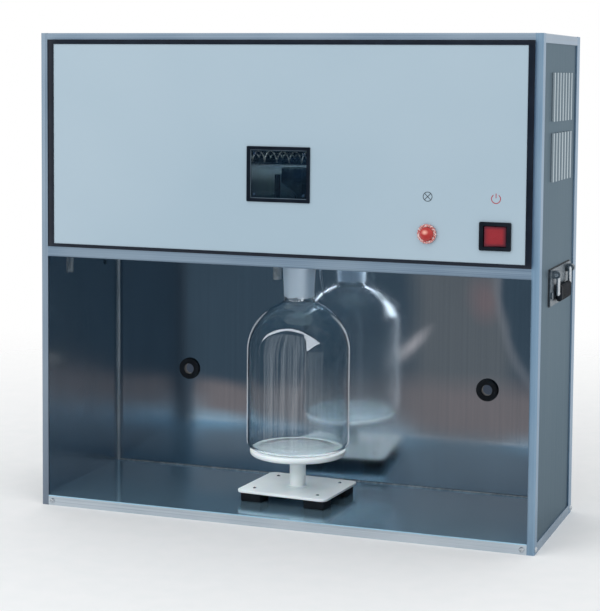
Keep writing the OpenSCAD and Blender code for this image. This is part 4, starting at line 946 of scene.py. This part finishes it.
class STILL_OT_small_fittings(bpy.types.Operator):
    """Builds the grommets, the cord gland and the rail screws"""
    bl_idname = "still.small_fittings"
    bl_label = "Small fittings"

    def execute(self, context):
        rear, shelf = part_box("rear_panel"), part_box("boiler_shelf")
        sides = (-GROMMET_X, GROMMET_X)
        places = [(x, (rear[0][1] + rear[1][1]) / 2, GROMMET_Z, "-y", 1.0 * MM) for x in sides]
        places += [(x, SHELF_GROMMET_Y, (shelf[0][2] + shelf[1][2]) / 2, "+z", 1.2 * MM)
                   for x in sides]
        out, bore, neck, half = 12.7 * MM, 6.0 * MM, 9.65 * MM, 4.0 * MM
        edge, inner_r = 1.5 * MM, 1.2 * MM
        lip_r = edge * 0.6
        bm = bmesh.new()
        for x, y, z, axis, sheet in places:
            lip = sheet / 2 + 0.05 * MM
            outline = ([(bore, -half + inner_r)]
                       + arc(bore + inner_r, -half + inner_r, inner_r, 180, 270, 4)
                       + arc(out - edge, -half + edge, edge, 270, 360, 5)
                       + arc(out - lip_r, -lip - lip_r, lip_r, 0, 90, 3)
                       + [(neck, -lip), (neck, lip)]
                       + arc(out - lip_r, lip + lip_r, lip_r, 270, 360, 3)
                       + arc(out - edge, half - edge, edge, 0, 90, 5)
                       + arc(bore + inner_r, half - inner_r, inner_r, 90, 180, 4))
            verts = turn_profile(bm, outline, 48, True)
            move(bm, verts, Matrix.Translation((x, y, z)) @ facing(axis))
        finish_mesh(bm, "rubber_grommets", shared("rubber", black_rubber), "cabinet",
                    stands_for=("grommets",))
        dress(["cord_gland"], shared("abs_black", black_abs))
        gland = middle_of("cord_gland")
        seat = Matrix.Translation((gland.x, rear[1][1], gland.z)) @ facing("+y")
        ribs = 18
        bm = bmesh.new()
        for k in range(ribs):
            rib = block(bm, (9.6 * MM, -0.7 * MM, 5.2 * MM), (10.5 * MM, 0.7 * MM, 14.4 * MM),
                        edge=0.2 * MM, segments=2)
            move(bm, rib, seat @ Matrix.Rotation(math.radians(360 / ribs * k), 4, "Z"))
        finish_mesh(bm, "gland_cap_ribs", shared("abs_black", black_abs), "cabinet")
        # Each base rail has a screw near both of its ends, 5 mm above the floor.
        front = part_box("base_rail_front")[0][1]
        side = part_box("rear_post_right")[1][0]
        along, deep, up = 0.267, 0.089, 0.005
        spots = [((sx * along, front, up), "-y") for sx in (-1, 1)]
        spots += [((sx * along, -front, up), "+y") for sx in (-1, 1)]
        spots += [((sx * side, sy * deep, up), "+x" if sx > 0 else "-x")
                  for sx in (-1, 1) for sy in (-1, 1)]
        slotted_heads("rail_screw_heads", ["rail_screws"], spots, 6.0 * MM, 2.2 * MM, 3.8 * MM,
                      "cabinet", cross=True)
        return {"FINISHED"}


class STILL_OT_handles(bpy.types.Operator):
    """Finishes the side handles and builds their ribbed grips"""
    bl_idname = "still.handles"
    bl_label = "Side handles"

    def execute(self, context):
        dress(["bail_left", "bail_right"], shared("nickel_plate", nickel_plate))
        dress(["handle_plates"], dull_zinc())
        dress(["handle_pads"], shared("rubber", black_rubber))
        for side in ("left", "right"):
            low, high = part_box("grip_" + side)
            thick, tall, length = (high[0] - low[0]) / 2, (high[2] - low[2]) / 2, high[1] - low[1]
            ribs, groove, end = 9, 0.55 * MM, length / 2
            pitch = (length - 6 * MM) / ribs
            # Places along the grip, and how far the skin lies in at each: round ends and grooves.
            stations = [(-end, 1.4 * MM), (-end + 0.4 * MM, 0.5 * MM), (-end + 1.2 * MM, 0)]
            for k in range(ribs):
                at = -end + 3 * MM + k * pitch
                stations += [(at, 0), (at + 0.3 * pitch, 0), (at + 0.42 * pitch, groove),
                             (at + 0.88 * pitch, groove)]
            stations += [(end - 3 * MM, 0), (end - 1.2 * MM, 0), (end - 0.4 * MM, 0.5 * MM),
                         (end, 1.4 * MM)]
            flat = tall - thick
            loops = []
            bm = bmesh.new()
            for along, inset in stations:
                r = thick - inset
                ring = [(r * math.sin(a), flat + r * math.cos(a)) for a in
                        (math.radians(-90 + 180 * i / 12) for i in range(13))]
                ring += [(-px, -pz) for px, pz in ring]
                loops.append([bm.verts.new((px, along, pz)) for px, pz in ring])
            around = len(loops[0])
            for loop in loops:
                for k in range(around):
                    bm.edges.new((loop[k], loop[(k + 1) % around]))
            for pair in zip(loops, loops[1:]):
                edges = [bm.edges.get((q[k], q[(k + 1) % around]))
                         for q in pair for k in range(around)]
                bmesh.ops.bridge_loops(bm, edges=edges)
            for end_loop in (loops[0], loops[-1]):
                bm.faces.new(end_loop)
            bmesh.ops.translate(bm, vec=middle_of("grip_" + side), verts=bm.verts)
            finish_mesh(bm, "grip_ribbed_" + side, shared("grip_black", grip_black),
                        "handle_" + side, stands_for=("grip_" + side,),
                        angle=60)
        return {"FINISHED"}


# ---------------------------------------------------------------- still

class STILL_OT_boiler(bpy.types.Operator):
    """Finishes the quartz boiler, its tubes, ceramics and supports"""
    bl_idname = "still.boiler"
    bl_label = "Quartz boiler"

    def execute(self, context):
        quartz = ["boiler_vessel", "cold_finger", "cooling_feed_tube", "heater_sheaths",
                  "distillate_funnel", "overflow_pipe", "feed_port", "vent_capillary"]
        dress(quartz, fused_quartz())
        dress(["water_inlet"], chalky_quartz())
        let_light_through(*(frame["nodes"][name] for name in quartz + ["water_inlet"]))
        dress(["heater_caps", "terminal_block"], steatite())
        dress(["overflow_sleeve"], silicone_tube())
        dress(["outlet_bush", "boiler_saddles"], shared("ptfe", machined_fluoroplastic))
        low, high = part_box("terminal_block")
        poles, across, sunk = 4, 7.5 * MM, 7.9 * MM
        step = (high[1] - low[1]) / poles
        places = [(((low[0] + high[0]) / 2 + sx * across, low[1] + (i + 0.5) * step,
                    high[2] - sunk), "+z") for i in range(poles) for sx in (-1, 1)]
        slotted_heads("terminal_screws", (), places, 5.4 * MM, 1.8 * MM, 0.05 * MM, "cabinet")
        return {"FINISHED"}


class STILL_OT_coils(bpy.types.Operator):
    """Builds the wound resistance coils inside the heater sheaths"""
    bl_idname = "still.coils"
    bl_label = "Heater coils"

    def execute(self, context):
        turns, pitch, wire, r = 15, 14.3 * MM, 1.4 * MM, 5.9 * MM
        lead, sides, steps = 2 * wire, 10, 32
        # The section stands across the wire where the winding starts.
        slope = math.atan2(pitch, math.tau * r)
        metal = resistance_wire()
        for end in ("front", "rear"):
            node = "heater_coil_" + end
            low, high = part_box(node)
            y, z = (low[1] + high[1]) / 2, (low[2] + high[2]) / 2
            start = low[0] + lead
            bm = bmesh.new()
            ring = bmesh.ops.create_circle(
                bm, cap_ends=False, radius=wire / 2, segments=sides)["verts"]
            for turn, axis in ((math.radians(90), "X"), (-slope, "Z")):
                bmesh.ops.rotate(bm, verts=ring, cent=(0, 0, 0),
                                 matrix=Matrix.Rotation(turn, 3, axis))
            bmesh.ops.translate(bm, verts=ring, vec=(start, y, z + r))
            bmesh.ops.spin(bm, geom=list(bm.edges), cent=(start, y, z), axis=(-1, 0, 0),
                           dvec=(pitch / steps, 0, 0), angle=math.tau * turns,
                           steps=steps * turns)
            # A straight lead runs out of each end, square to it.
            square = Matrix.Rotation(slope - math.pi / 2, 3, "Z")
            for first, target in ((True, start - lead), (False, start + turns * pitch + lead)):
                ends = sorted((e for e in bm.edges if e.is_boundary),
                              key=lambda e: e.verts[0].co.x + e.verts[1].co.x)
                loop = ends[:sides] if first else ends[-sides:]
                out = bmesh.ops.extrude_edge_only(bm, edges=loop)["geom"]
                tips = [g for g in out if isinstance(g, bmesh.types.BMVert)]
                middle = sum((v.co for v in tips), Vector()) / len(tips)
                for v in tips:
                    v.co = square @ (v.co - middle) + Vector((target, middle.y, middle.z))
                hole = [e for e in bm.edges if e.is_boundary and e.verts[0] in tips]
                bmesh.ops.holes_fill(bm, edges=hole, sides=0)
            finish_mesh(bm, "coil_" + end, metal, "cabinet", stands_for=(node,),
                        angle=60)
        return {"FINISHED"}


class STILL_OT_bottle(bpy.types.Operator):
    """Blows the bottle: one turned wall with a ground neck"""
    bl_idname = "still.bottle"
    bl_label = "Receiving bottle"

    def execute(self, context):
        low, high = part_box("bottle")
        cx, cy = (low[0] + high[0]) / 2, (low[1] + high[1]) / 2
        r = (high[0] - low[0]) / 2
        z0, z1 = low[2], high[2]
        wall, corner, fillet, neck_r, neck_h = 2.5 * MM, 11 * MM, 5 * MM, 16.5 * MM, 42 * MM
        # The neck widens 1 to 10 upwards, and a fillet leads from it to the round shoulder.
        foot = z1 - neck_h
        swing_x = neck_r + fillet
        dome = foot - math.sqrt((r + fillet) ** 2 - swing_x ** 2)
        lean = math.degrees(math.atan2(foot - dome, swing_x))
        top_r = neck_r + neck_h * 0.05
        lip, in_lip = 1.0 * MM, 0.9 * MM

        def neck(inset, quarters):
            return [(neck_r - inset + (top_r - neck_r) * k / 4, foot + neck_h * k / 4)
                    for k in quarters]

        def body(radius, sixths):
            return [(radius, z0 + (dome - z0) * k / 6) for k in sixths]
        outer = ([(0, z0 + 1.2 * MM), (r * 0.55, z0 + 0.9 * MM),
                  (r - corner - 4 * MM, z0 + 0.05 * MM)]
                 + arc(r - corner, z0 + corner, corner, 270, 360, 10)
                 + body(r, range(2, 6))
                 + arc(0, dome, r, 0, lean, 22)
                 + arc(swing_x, foot, fillet, 180 + lean, 180, 6)[1:]
                 + neck(0, range(1, 4))
                 + arc(top_r - lip, z1 - lip, lip, 0, 90, 4))
        inner = (arc(top_r - wall + in_lip, z1 - in_lip, in_lip, 90, 180, 4)
                 + neck(wall, (3, 2, 1))
                 + arc(swing_x, foot, fillet + wall, 180, 180 + lean, 6)
                 + arc(0, dome, r - wall, lean, 0, 22)[1:]
                 + body(r - wall, range(5, 1, -1))
                 + arc(r - corner, z0 + corner, corner - wall, 360, 270, 10)
                 + [(r * 0.5, z0 + wall + 1.2 * MM), (0, z0 + wall + 1.6 * MM)])
        bm = bmesh.new()
        turn_profile(bm, outer + inner, sizes().turn_steps + 32)
        bmesh.ops.translate(bm, vec=(cx, cy, 0), verts=bm.verts)
        glass = bottle_quartz(z1 - sizes().ground_length)
        piece = finish_mesh(bm, "bottle_blown_quartz", glass, "bottle",
                            stands_for=("bottle",))
        let_light_through(piece)
        return {"FINISHED"}


class STILL_OT_stand(bpy.types.Operator):
    """Builds the stand: turned disc and column, soft-edged plate, rubber feet and screws"""
    bl_idname = "still.stand"
    bl_label = "Bottle stand"

    def execute(self, context):
        white = shared("ptfe", machined_fluoroplastic)
        low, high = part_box("stand_disc")
        cx, cy = (low[0] + high[0]) / 2, (low[1] + high[1]) / 2
        r = (high[0] - low[0]) / 2
        # The disc's rim is round below, and stands 0.5 mm above a shallow seat for the bottle.
        edge, under, sunk = 1.2 * MM, 4.2 * MM, 0.5 * MM
        profile = ([(0, low[2]), (r - under - 4 * MM, low[2])]
                   + arc(r - under, low[2] + under, under, 270, 360, 10)
                   + arc(r - edge, high[2] - edge, edge, 0, 90, 5)
                   + [(r - 4.5 * MM, high[2]), (r - 5.1 * MM, high[2] - sunk),
                      (0, high[2] - sunk)])
        self.turned("stand_turned_disc", "stand_disc", profile, sizes().turn_steps, cx, cy)
        low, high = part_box("stand_column")
        flange, shaft, step, fillet = (high[0] - low[0]) / 2, 9 * MM, 0.3 * MM, 1.2 * MM
        profile = ([(0, low[2]), (flange - step, low[2]), (flange, low[2] + step)]
                   + arc(shaft + fillet, low[2] + 0.6 * MM + fillet, fillet, 270, 180, 5)
                   + [(shaft, high[2] - 0.8 * MM), (shaft + 0.5 * MM, high[2]), (0, high[2])])
        self.turned("stand_turned_column", "stand_column", profile, 64, cx, cy)
        # The plate stands turned a little to the right under the column.
        turn = Matrix.Translation((cx, cy, 0)) @ Matrix.Rotation(math.radians(-4), 4, "Z")
        low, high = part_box("stand_plate")
        half_x, half_y, inset, foot, screw = 54 * MM, 47.5 * MM, 4 * MM, 24 * MM, 16 * MM
        bm = bmesh.new()
        block(bm, (-half_x, -half_y, low[2]), (half_x, half_y, high[2]),
              corner=8 * MM, edge=0.7 * MM)
        move(bm, bm.verts, turn)
        finish_mesh(bm, "stand_soft_plate", white, "stand", stands_for=("stand_plate",))
        foot_low, foot_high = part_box("stand_feet")
        corners = [(sx, sy) for sx in (-1, 1) for sy in (-1, 1)]
        bm = bmesh.new()
        for sx, sy in corners:
            fx, fy = sx * (half_x - inset - foot / 2), sy * (half_y - inset - foot / 2)
            block(bm, (fx - foot / 2, fy - foot / 2, foot_low[2]),
                  (fx + foot / 2, fy + foot / 2, foot_high[2]), corner=2 * MM, edge=0.9 * MM)
        move(bm, bm.verts, turn)
        finish_mesh(bm, "stand_rubber_feet", shared("rubber", black_rubber), "stand",
                    stands_for=("stand_feet",))
        spots = [(tuple(turn @ Vector((sx * (half_x - screw), sy * (half_y - screw), high[2]))),
                  "+z") for sx, sy in corners]
        slotted_heads("stand_screw_heads", ["stand_screws"], spots, 4.0 * MM, 1.2 * MM, 5.5 * MM,
                      "stand", cross=True)
        return {"FINISHED"}

    def turned(self, name, node, profile, steps, cx, cy):
        """A piece of the stand that is turned about its upright axis."""
        bm = bmesh.new()
        turn_profile(bm, profile, steps)
        bmesh.ops.translate(bm, vec=(cx, cy, 0), verts=bm.verts)
        finish_mesh(bm, name, shared("ptfe", machined_fluoroplastic), "stand",
                    stands_for=(node,))


# ---------------------------------------------------------------- stage

def studio_floor_paper():
    """Pale seamless studio paper, with a faint tooth, that thins out into the white backdrop."""
    made, tree, shader = new_finish("studio_paper_pale", "#f2f4f5", 0.0, 0.9)
    shader.inputs["Specular IOR Level"].default_value = 0.1
    tooth = pattern(tree, 40)
    wire_in(tree, shader, "Base Color", mottle(tree, tooth, 0.3, 0.7, "#f6f7f8", "#f3f5f6"))
    # It thins out from 0.45 m to 1.5 m away.
    where = add(tree, "TexCoord")
    reach = add(tree, "VectorMath", {"Vector": (where, "Object")}, operation="LENGTH")
    far = add(tree, "MapRange", [reach, 0.45, 1.5, 0, 1], interpolation_type="SMOOTHSTEP")
    fade = add(tree, "MixShader", [far, shader, add(tree, "BsdfTransparent")])
    tree.links.new(fade.outputs[0], tree.nodes["Material Output"].inputs["Surface"])
    return made


def patch_of(tree, place, middle, half, turn=0.0, soft=0.3, rounded=False):
    """How far a point lies inside a soft-edged rectangle or ellipse of the X-Z plane, 0 to 1."""
    local = add(tree, "Mapping", {
        "Vector": place, "Location": (middle[0], 0, middle[1]),
        "Rotation": (0, -math.radians(turn), 0), "Scale": (half[0], 1, half[1])},
        vector_type="TEXTURE")
    flat = add(tree, "VectorMath", {0: local, 1: (1, 0, 1)}, operation="MULTIPLY")
    if rounded:
        reach = add(tree, "VectorMath", {0: flat}, operation="LENGTH")
        return add(tree, "MapRange", [reach, 1 - soft, 1 + soft, 1, 0])
    near = add(tree, "VectorMath", {0: flat}, operation="ABSOLUTE")
    parts = add(tree, "SeparateXYZ", {"Vector": near})
    wide, tall = (add(tree, "MapRange", [(parts, axis), 1 - soft, 1 + soft, 1, 0])
                  for axis in "XZ")
    return add(tree, "Math", [wide, tall], operation="MULTIPLY")


def shown_from_one_side(name, shown_from_behind, colour):
    """A glowing card that shows from one side only. colour is a hex colour, or takes the tree and
    gives the node that makes the colour."""
    made, tree = bare_material(name)
    tone = colour if isinstance(colour, str) else colour(tree)
    glow = add(tree, "Emission", {"Color": tone, "Strength": 1.0})
    clear = add(tree, "BsdfTransparent")
    side = add(tree, "NewGeometry")
    pair = [clear, glow] if shown_from_behind else [glow, clear]
    both = add(tree, "MixShader", [(side, "Backfacing"), *pair])
    add(tree, "OutputMaterial", {"Surface": both})
    return made


def room_tone(tree):
    """The room before the cabinet: dark, with a warm band low down and lit screens at the right."""
    # Edges wander by up to 15 mm.
    where = add(tree, "TexCoord")
    wander = add(tree, "VectorMath", {0: (pattern(tree, 9), "Color"), 1: (0.5, 0.5, 0.5)},
                 operation="SUBTRACT")
    place = add(tree, "VectorMath", {0: wander, 1: (0.03, 0, 0.03), 2: (where, "Object")},
                operation="MULTIPLY_ADD")
    dark, warm, grey, low = (tuple(colour) + (1,) for colour in (
        colours().mirrored_dark, colours().mirrored_warm,
        colours().mirrored_grey, colours().mirrored_low))
    # Colour, middle, half size, turn and softness of each part, in metres and degrees.
    parts = [
        (low, (0, -0.09), (0.6, 0.125), 0, 0.12, False),
        (grey, (0.105, 0.17), (0.066, 0.18), 0, 0.25, False),
        (warm, (0.27, 0.053), (0.31, 0.040), 0, 0.45, False),
        (warm, (-0.15, 0.042), (0.125, 0.027), 0, 0.35, False),
        ("#776a6c", (0.130, 0.212), (0.017, 0.025), 0, 0.6, True),
        ("#838489", (0.245, 0.245), (0.101, 0.170), 0, 0.06, True),
        (dark, (0.245, 0.245), (0.096, 0.164), 0, 0.05, True),
        ("#bab3b4", (0.033, 0.138), (0.027, 0.0055), 47, 0.8, True),
        (dark, (-0.275, 0.14), (0.012, 0.2), 0, 0.3, False),
    ]
    tone = dark
    for colour, middle, half, turn, soft, rounded in parts:
        inside = patch_of(tree, place, middle, half, turn, soft, rounded)
        tone = add(tree, "Mix", [inside, tone, colour], data_type="RGBA")
    return tone


def studio_dim(name, hex_colour):
    """A dim part of the studio, which only mirrors see."""
    made, _, shader = new_finish(name, "#000000", 0.0, 1.0, Emission_Strength=1.0,
                                 Specular_IOR_Level=0.0)
    shader.inputs["Emission Color"].default_value = linear(hex_colour)
    return made


def see_through_light(name, strength, streaks=False):
    """Light that lets through what lies behind it, in upright streaks where wanted."""
    made, tree = bare_material(name)
    glow = add(tree, "Emission", {"Color": "#eef6ff", "Strength": strength})
    if streaks:
        # The folds of a curtain, about 6 mm apart.
        folds = pattern(tree, (1 / (6 * MM), 1, 1 / 0.25), 4.0, 0.6)
        vary(tree, glow, "Strength", folds, 0.40, 0.60, 0.1 * strength, 2.3 * strength)
    both = add(tree, "AddShader", [glow, add(tree, "BsdfTransparent")])
    add(tree, "OutputMaterial", {"Surface": both})
    return made


def stage_piece(bm, name, material, mirrors_only=False):
    """A mesh of the studio, which isn't part of the still."""
    mesh = bpy.data.meshes.new(name)
    bm.to_mesh(mesh)
    bm.free()
    piece = bpy.data.objects.new(name, mesh)
    bpy.context.scene.collection.objects.link(piece)
    mesh.materials.append(material)
    if mirrors_only:
        piece.visible_camera = False
        piece.visible_diffuse = False
        piece.visible_shadow = False
        piece.visible_volume_scatter = False
    return piece


def flat_card(low, high, y):
    """A grid in the X-Z plane, facing -Y, as a bmesh."""
    bm = bmesh.new()
    bmesh.ops.create_grid(bm, x_segments=4, y_segments=4, size=0.5)
    bmesh.ops.scale(bm, vec=(high[0] - low[0], high[1] - low[1], 1), verts=bm.verts)
    middle = ((low[0] + high[0]) / 2, y, (low[1] + high[1]) / 2)
    move(bm, bm.verts, Matrix.Translation(middle) @ facing("-y"))
    return bm


def only_for(name, *pieces):
    """A collection that a light is kept to."""
    made = bpy.data.collections.new(name)
    for piece in pieces:
        made.objects.link(piece)
    return made


def soft_light(name, place, aim, size, power):
    """A large square lamp that points at a place."""
    data = bpy.data.lights.new(name, "AREA")
    data.energy = power
    data.size = size
    lamp = bpy.data.objects.new(name, data)
    lamp.location = place
    lamp.rotation_euler = (Vector(aim) - Vector(place)).to_track_quat("-Z", "Y").to_euler()
    lamp.visible_glossy = False
    bpy.context.scene.collection.objects.link(lamp)
    return lamp


class STILL_OT_stage(bpy.types.Operator):
    """Sets the floor, the room that the mirrors show, the lights, the world and the camera"""
    bl_idname = "still.stage"
    bl_label = "Stage and camera"

    def execute(self, context):
        scene = context.scene
        bm = bmesh.new()
        bmesh.ops.create_grid(bm, x_segments=2, y_segments=2, size=6.0)
        stage_piece(bm, "studio_floor", studio_floor_paper())
        self.mirrored_room()
        self.lamps()
        self.world(scene)
        scene.view_settings.view_transform = "Standard"
        self.camera(scene)
        return {"FINISHED"}

    def mirrored_room(self):
        """Cards that stand for the room. Mirror-bright metal and glass see them, the camera not."""
        deck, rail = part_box("bay_floor")[1][2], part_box("mid_rail")[0][2]
        # The room fills the opening between the posts, which shade a strip at either end.
        room_end, shade_in, shade_out = 0.2719, 0.2690, 0.2774
        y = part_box("bay_floor")[0][1] - 2.6 * MM
        # From before the cabinet it lets the bay through, so that it is no backdrop to a bottle
        # taken out.
        stage_piece(flat_card((-room_end, deck), (room_end, rail), y),
                    "studio_room_seen_in_mirrors",
                    shown_from_one_side("studio_room_dark", True, room_tone), True)
        self.window(y + 0.4 * MM)
        dim = studio_dim("studio_dim_edge", "#343f49")
        for side, sign in (("left", -1), ("right", 1)):
            low, high = sorted((sign * shade_out, sign * shade_in))
            stage_piece(flat_card((low, deck), (high, rail), y + 5 * MM), "post_shade_" + side,
                        dim, True)
        low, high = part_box("panel_border")
        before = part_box("switch_rocker")[0][1] - 6 * MM
        stage_piece(flat_card((low[0], low[2]), (high[0], high[2]), before),
                    "studio_dark_seen_in_panel", studio_dim("studio_dim_half", "#405d79"), True)
        # The wall of the room, seen through the two open grommets.
        behind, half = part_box("grommets")[1][1] + 0.3 * MM, 8 * MM
        wall = shown_from_one_side("studio_wall_grey", False, "#3b434f")
        for side, at in (("left", -GROMMET_X), ("right", GROMMET_X)):
            card = stage_piece(
                flat_card((at - half, GROMMET_Z - half), (at + half, GROMMET_Z + half), behind),
                "wall_behind_grommet_" + side, wall)
            card.visible_diffuse = card.visible_glossy = card.visible_shadow = False

    def lamps(self):
        """Two soft lamps for all, and three that light one place each."""
        nodes, made = frame["nodes"], bpy.data.objects
        stand = [made[name] for name in (
            "stand_turned_disc", "stand_turned_column", "stand_soft_plate", "stand_screw_heads")]
        coils = [made["coil_front"], made["coil_rear"]]
        on_stand = (only_for("lit_by_bay_lights", *stand, nodes["vent_capillary"]),
                    only_for("shade_in_bay_light", *stand))
        in_boiler = (only_for("lit_behind_window", *coils, nodes["heater_sheaths"]),
                     only_for("shade_behind_window", *coils))
        bay, bay_aim = sizes().bay_power, (0, 0, 0.05)
        for name, place, aim, size, power, (takers, blockers) in (
                ("bay_light_front", (-0.5, -1.2, 1.0), bay_aim, 0.7, bay, on_stand),
                # The mirrored lamp lights the stand as the bay's bright rear wall would.
                ("bay_light_mirrored", (-0.4, 1.2, 0.9), bay_aim, 0.7, bay * 1.7, on_stand),
                ("boiler_light", (-0.25, -1.1, 0.9), (0, 0, 0.38), 0.12, sizes().boiler_power,
                 in_boiler)):
            lamp = soft_light(name, place, aim, size, power)
            lamp.light_linking.receiver_collection = takers
            lamp.light_linking.blocker_collection = blockers
        soft_light("key_front_left", (-1.5, -2.6, 1.5), (0, 0, 0.3), 1.8, sizes().key_power)
        soft_light("fill_above", (0.3, -0.9, 2.2), (0, 0, 0.3), 1.6, sizes().fill_power)

    def world(self, scene):
        """White for the camera, mirrors and glass, and even room light for all else."""
        scene.world = bpy.data.worlds.new("studio_world")
        scene.world.use_nodes = True
        tree = scene.world.node_tree
        tree.nodes.clear()
        ray = add(tree, "LightPath")
        direct = add(tree, "Math", [(ray, "Is Camera Ray"), (ray, "Is Glossy Ray")],
                     operation="MAXIMUM")
        direct = add(tree, "Math", [direct, (ray, "Is Transmission Ray")], operation="MAXIMUM")
        strength = add(tree, "MapRange", [direct, 0, 1, sizes().world_light, 1.0])
        back = add(tree, "Background", {"Color": (1, 1, 1, 1), "Strength": strength})
        add(tree, "OutputWorld", {"Surface": back})

    def window(self, y):
        """The window light that only the bottle's shoulder mirrors: a strip and a corner of a pane,
        the folds of its curtain, and a faint glow at the bottle's edges."""
        outlines = [
            [(-0.200, 0.231), (-0.150, 0.245), (-0.070, 0.257), (-0.024, 0.265), (0.046, 0.261),
             (0.046, 0.277), (-0.024, 0.283), (-0.075, 0.275), (-0.150, 0.263), (-0.200, 0.248)],
            [(0.050, 0.274), (0.054, 0.191), (0.094, 0.214), (0.212, 0.264), (0.101, 0.268)],
        ]
        bm = bmesh.new()
        for outline in outlines:
            bm.faces.new([bm.verts.new((x, y, z)) for x, z in outline])
        power = sizes().window_power
        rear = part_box("rear_panel")[0][1] - 2 * MM
        faint = see_through_light("window_glow_beside", 0.06 * power)
        cards = [stage_piece(bm, "window_seen_by_bottle",
                             see_through_light("window_daylight", power), True)]
        for name, low, high, at, finish in (
                ("curtain_seen_by_bottle", (-0.12, 0.03), (0.05, 0.245), y,
                 see_through_light("curtain_folds", 0.09 * power, True)),
                ("curtain_side_seen_by_bottle", (0.05, 0.03), (0.24, 0.19), y,
                 see_through_light("curtain_folds_side", 0.05 * power, True)),
                ("glow_left_seen_by_bottle", (-0.19, 0.03), (-0.13, 0.26), rear, faint),
                ("glow_right_seen_by_bottle", (0.044, 0.03), (0.066, 0.26), rear, faint)):
            cards.append(stage_piece(flat_card(low, high, at), name, finish, True))
        only = only_for("seen_by_bottle_only", bpy.data.objects["bottle_blown_quartz"])
        for card in cards:
            card.visible_transmission = False
            card.light_linking.receiver_collection = only

    def camera(self, scene):
        """The photograph's camera, fitted to the cabinet's edges."""
        yaw, pitch, roll = math.radians(19.963), math.radians(4.219), math.radians(0.469)
        place = (0.6349, -1.7536, 0.4845)
        # The picture's size, focal length and optical centre, in pixels.
        wide, tall, focal, centre_x, centre_y = 600, 611, 1695.0, 306.6, 198.1
        level = math.cos(pitch)
        ahead = Vector((-math.sin(yaw) * level, math.cos(yaw) * level, -math.sin(pitch)))
        right = Vector((math.cos(yaw), math.sin(yaw), 0))
        up = right.cross(ahead)
        side = math.cos(roll) * right + math.sin(roll) * up
        top = -math.sin(roll) * right + math.cos(roll) * up
        turn = Matrix((side, top, -ahead)).transposed().to_4x4()
        data = bpy.data.cameras.new("photo_camera")
        data.sensor_fit = "HORIZONTAL"
        data.sensor_width = 36
        data.lens = focal / wide * data.sensor_width
        data.shift_x = (wide / 2 - centre_x) / wide
        data.shift_y = (centre_y - tall / 2) / wide
        camera = bpy.data.objects.new("photo_camera", data)
        camera.matrix_world = Matrix.Translation(place) @ turn
        scene.collection.objects.link(camera)
        scene.camera = camera


# ---------------------------------------------------------------- add-on

OPERATORS = [STILL_OT_angles, STILL_OT_sheets, STILL_OT_front_panel, STILL_OT_window,
             STILL_OT_lamp, STILL_OT_switch, STILL_OT_small_fittings, STILL_OT_handles,
             STILL_OT_boiler, STILL_OT_coils, STILL_OT_bottle, STILL_OT_stand, STILL_OT_stage]


class STILL_PT_panel(bpy.types.Panel):
    """Lists the settings and the steps"""
    bl_idname = "STILL_PT_panel"
    bl_label = "Water still"
    bl_space_type = "VIEW_3D"
    bl_region_type = "UI"
    bl_category = "Still"

    def draw(self, context):
        layout = self.layout
        for group in (context.scene.still_sizes, context.scene.still_colours):
            box = layout.box()
            for key in group.__annotations__:
                box.prop(group, key)
        for operator in OPERATORS:
            layout.operator(operator.bl_idname)


CLASSES = [StillColours, StillSizes, *OPERATORS, STILL_PT_panel]


def register():
    for made in CLASSES:
        bpy.utils.register_class(made)
    bpy.types.Scene.still_colours = PointerProperty(type=StillColours)
    bpy.types.Scene.still_sizes = PointerProperty(type=StillSizes)


def unregister():
    del bpy.types.Scene.still_sizes
    del bpy.types.Scene.still_colours
    for made in reversed(CLASSES):
        bpy.utils.unregister_class(made)


def main():
    """Runs every step in order."""
    register()
    for operator in OPERATORS:
        group, name = operator.bl_idname.split(".")
        getattr(getattr(bpy.ops, group), name)()
    bpy.context.view_layer.update()


if __name__ == "__main__":
    main()
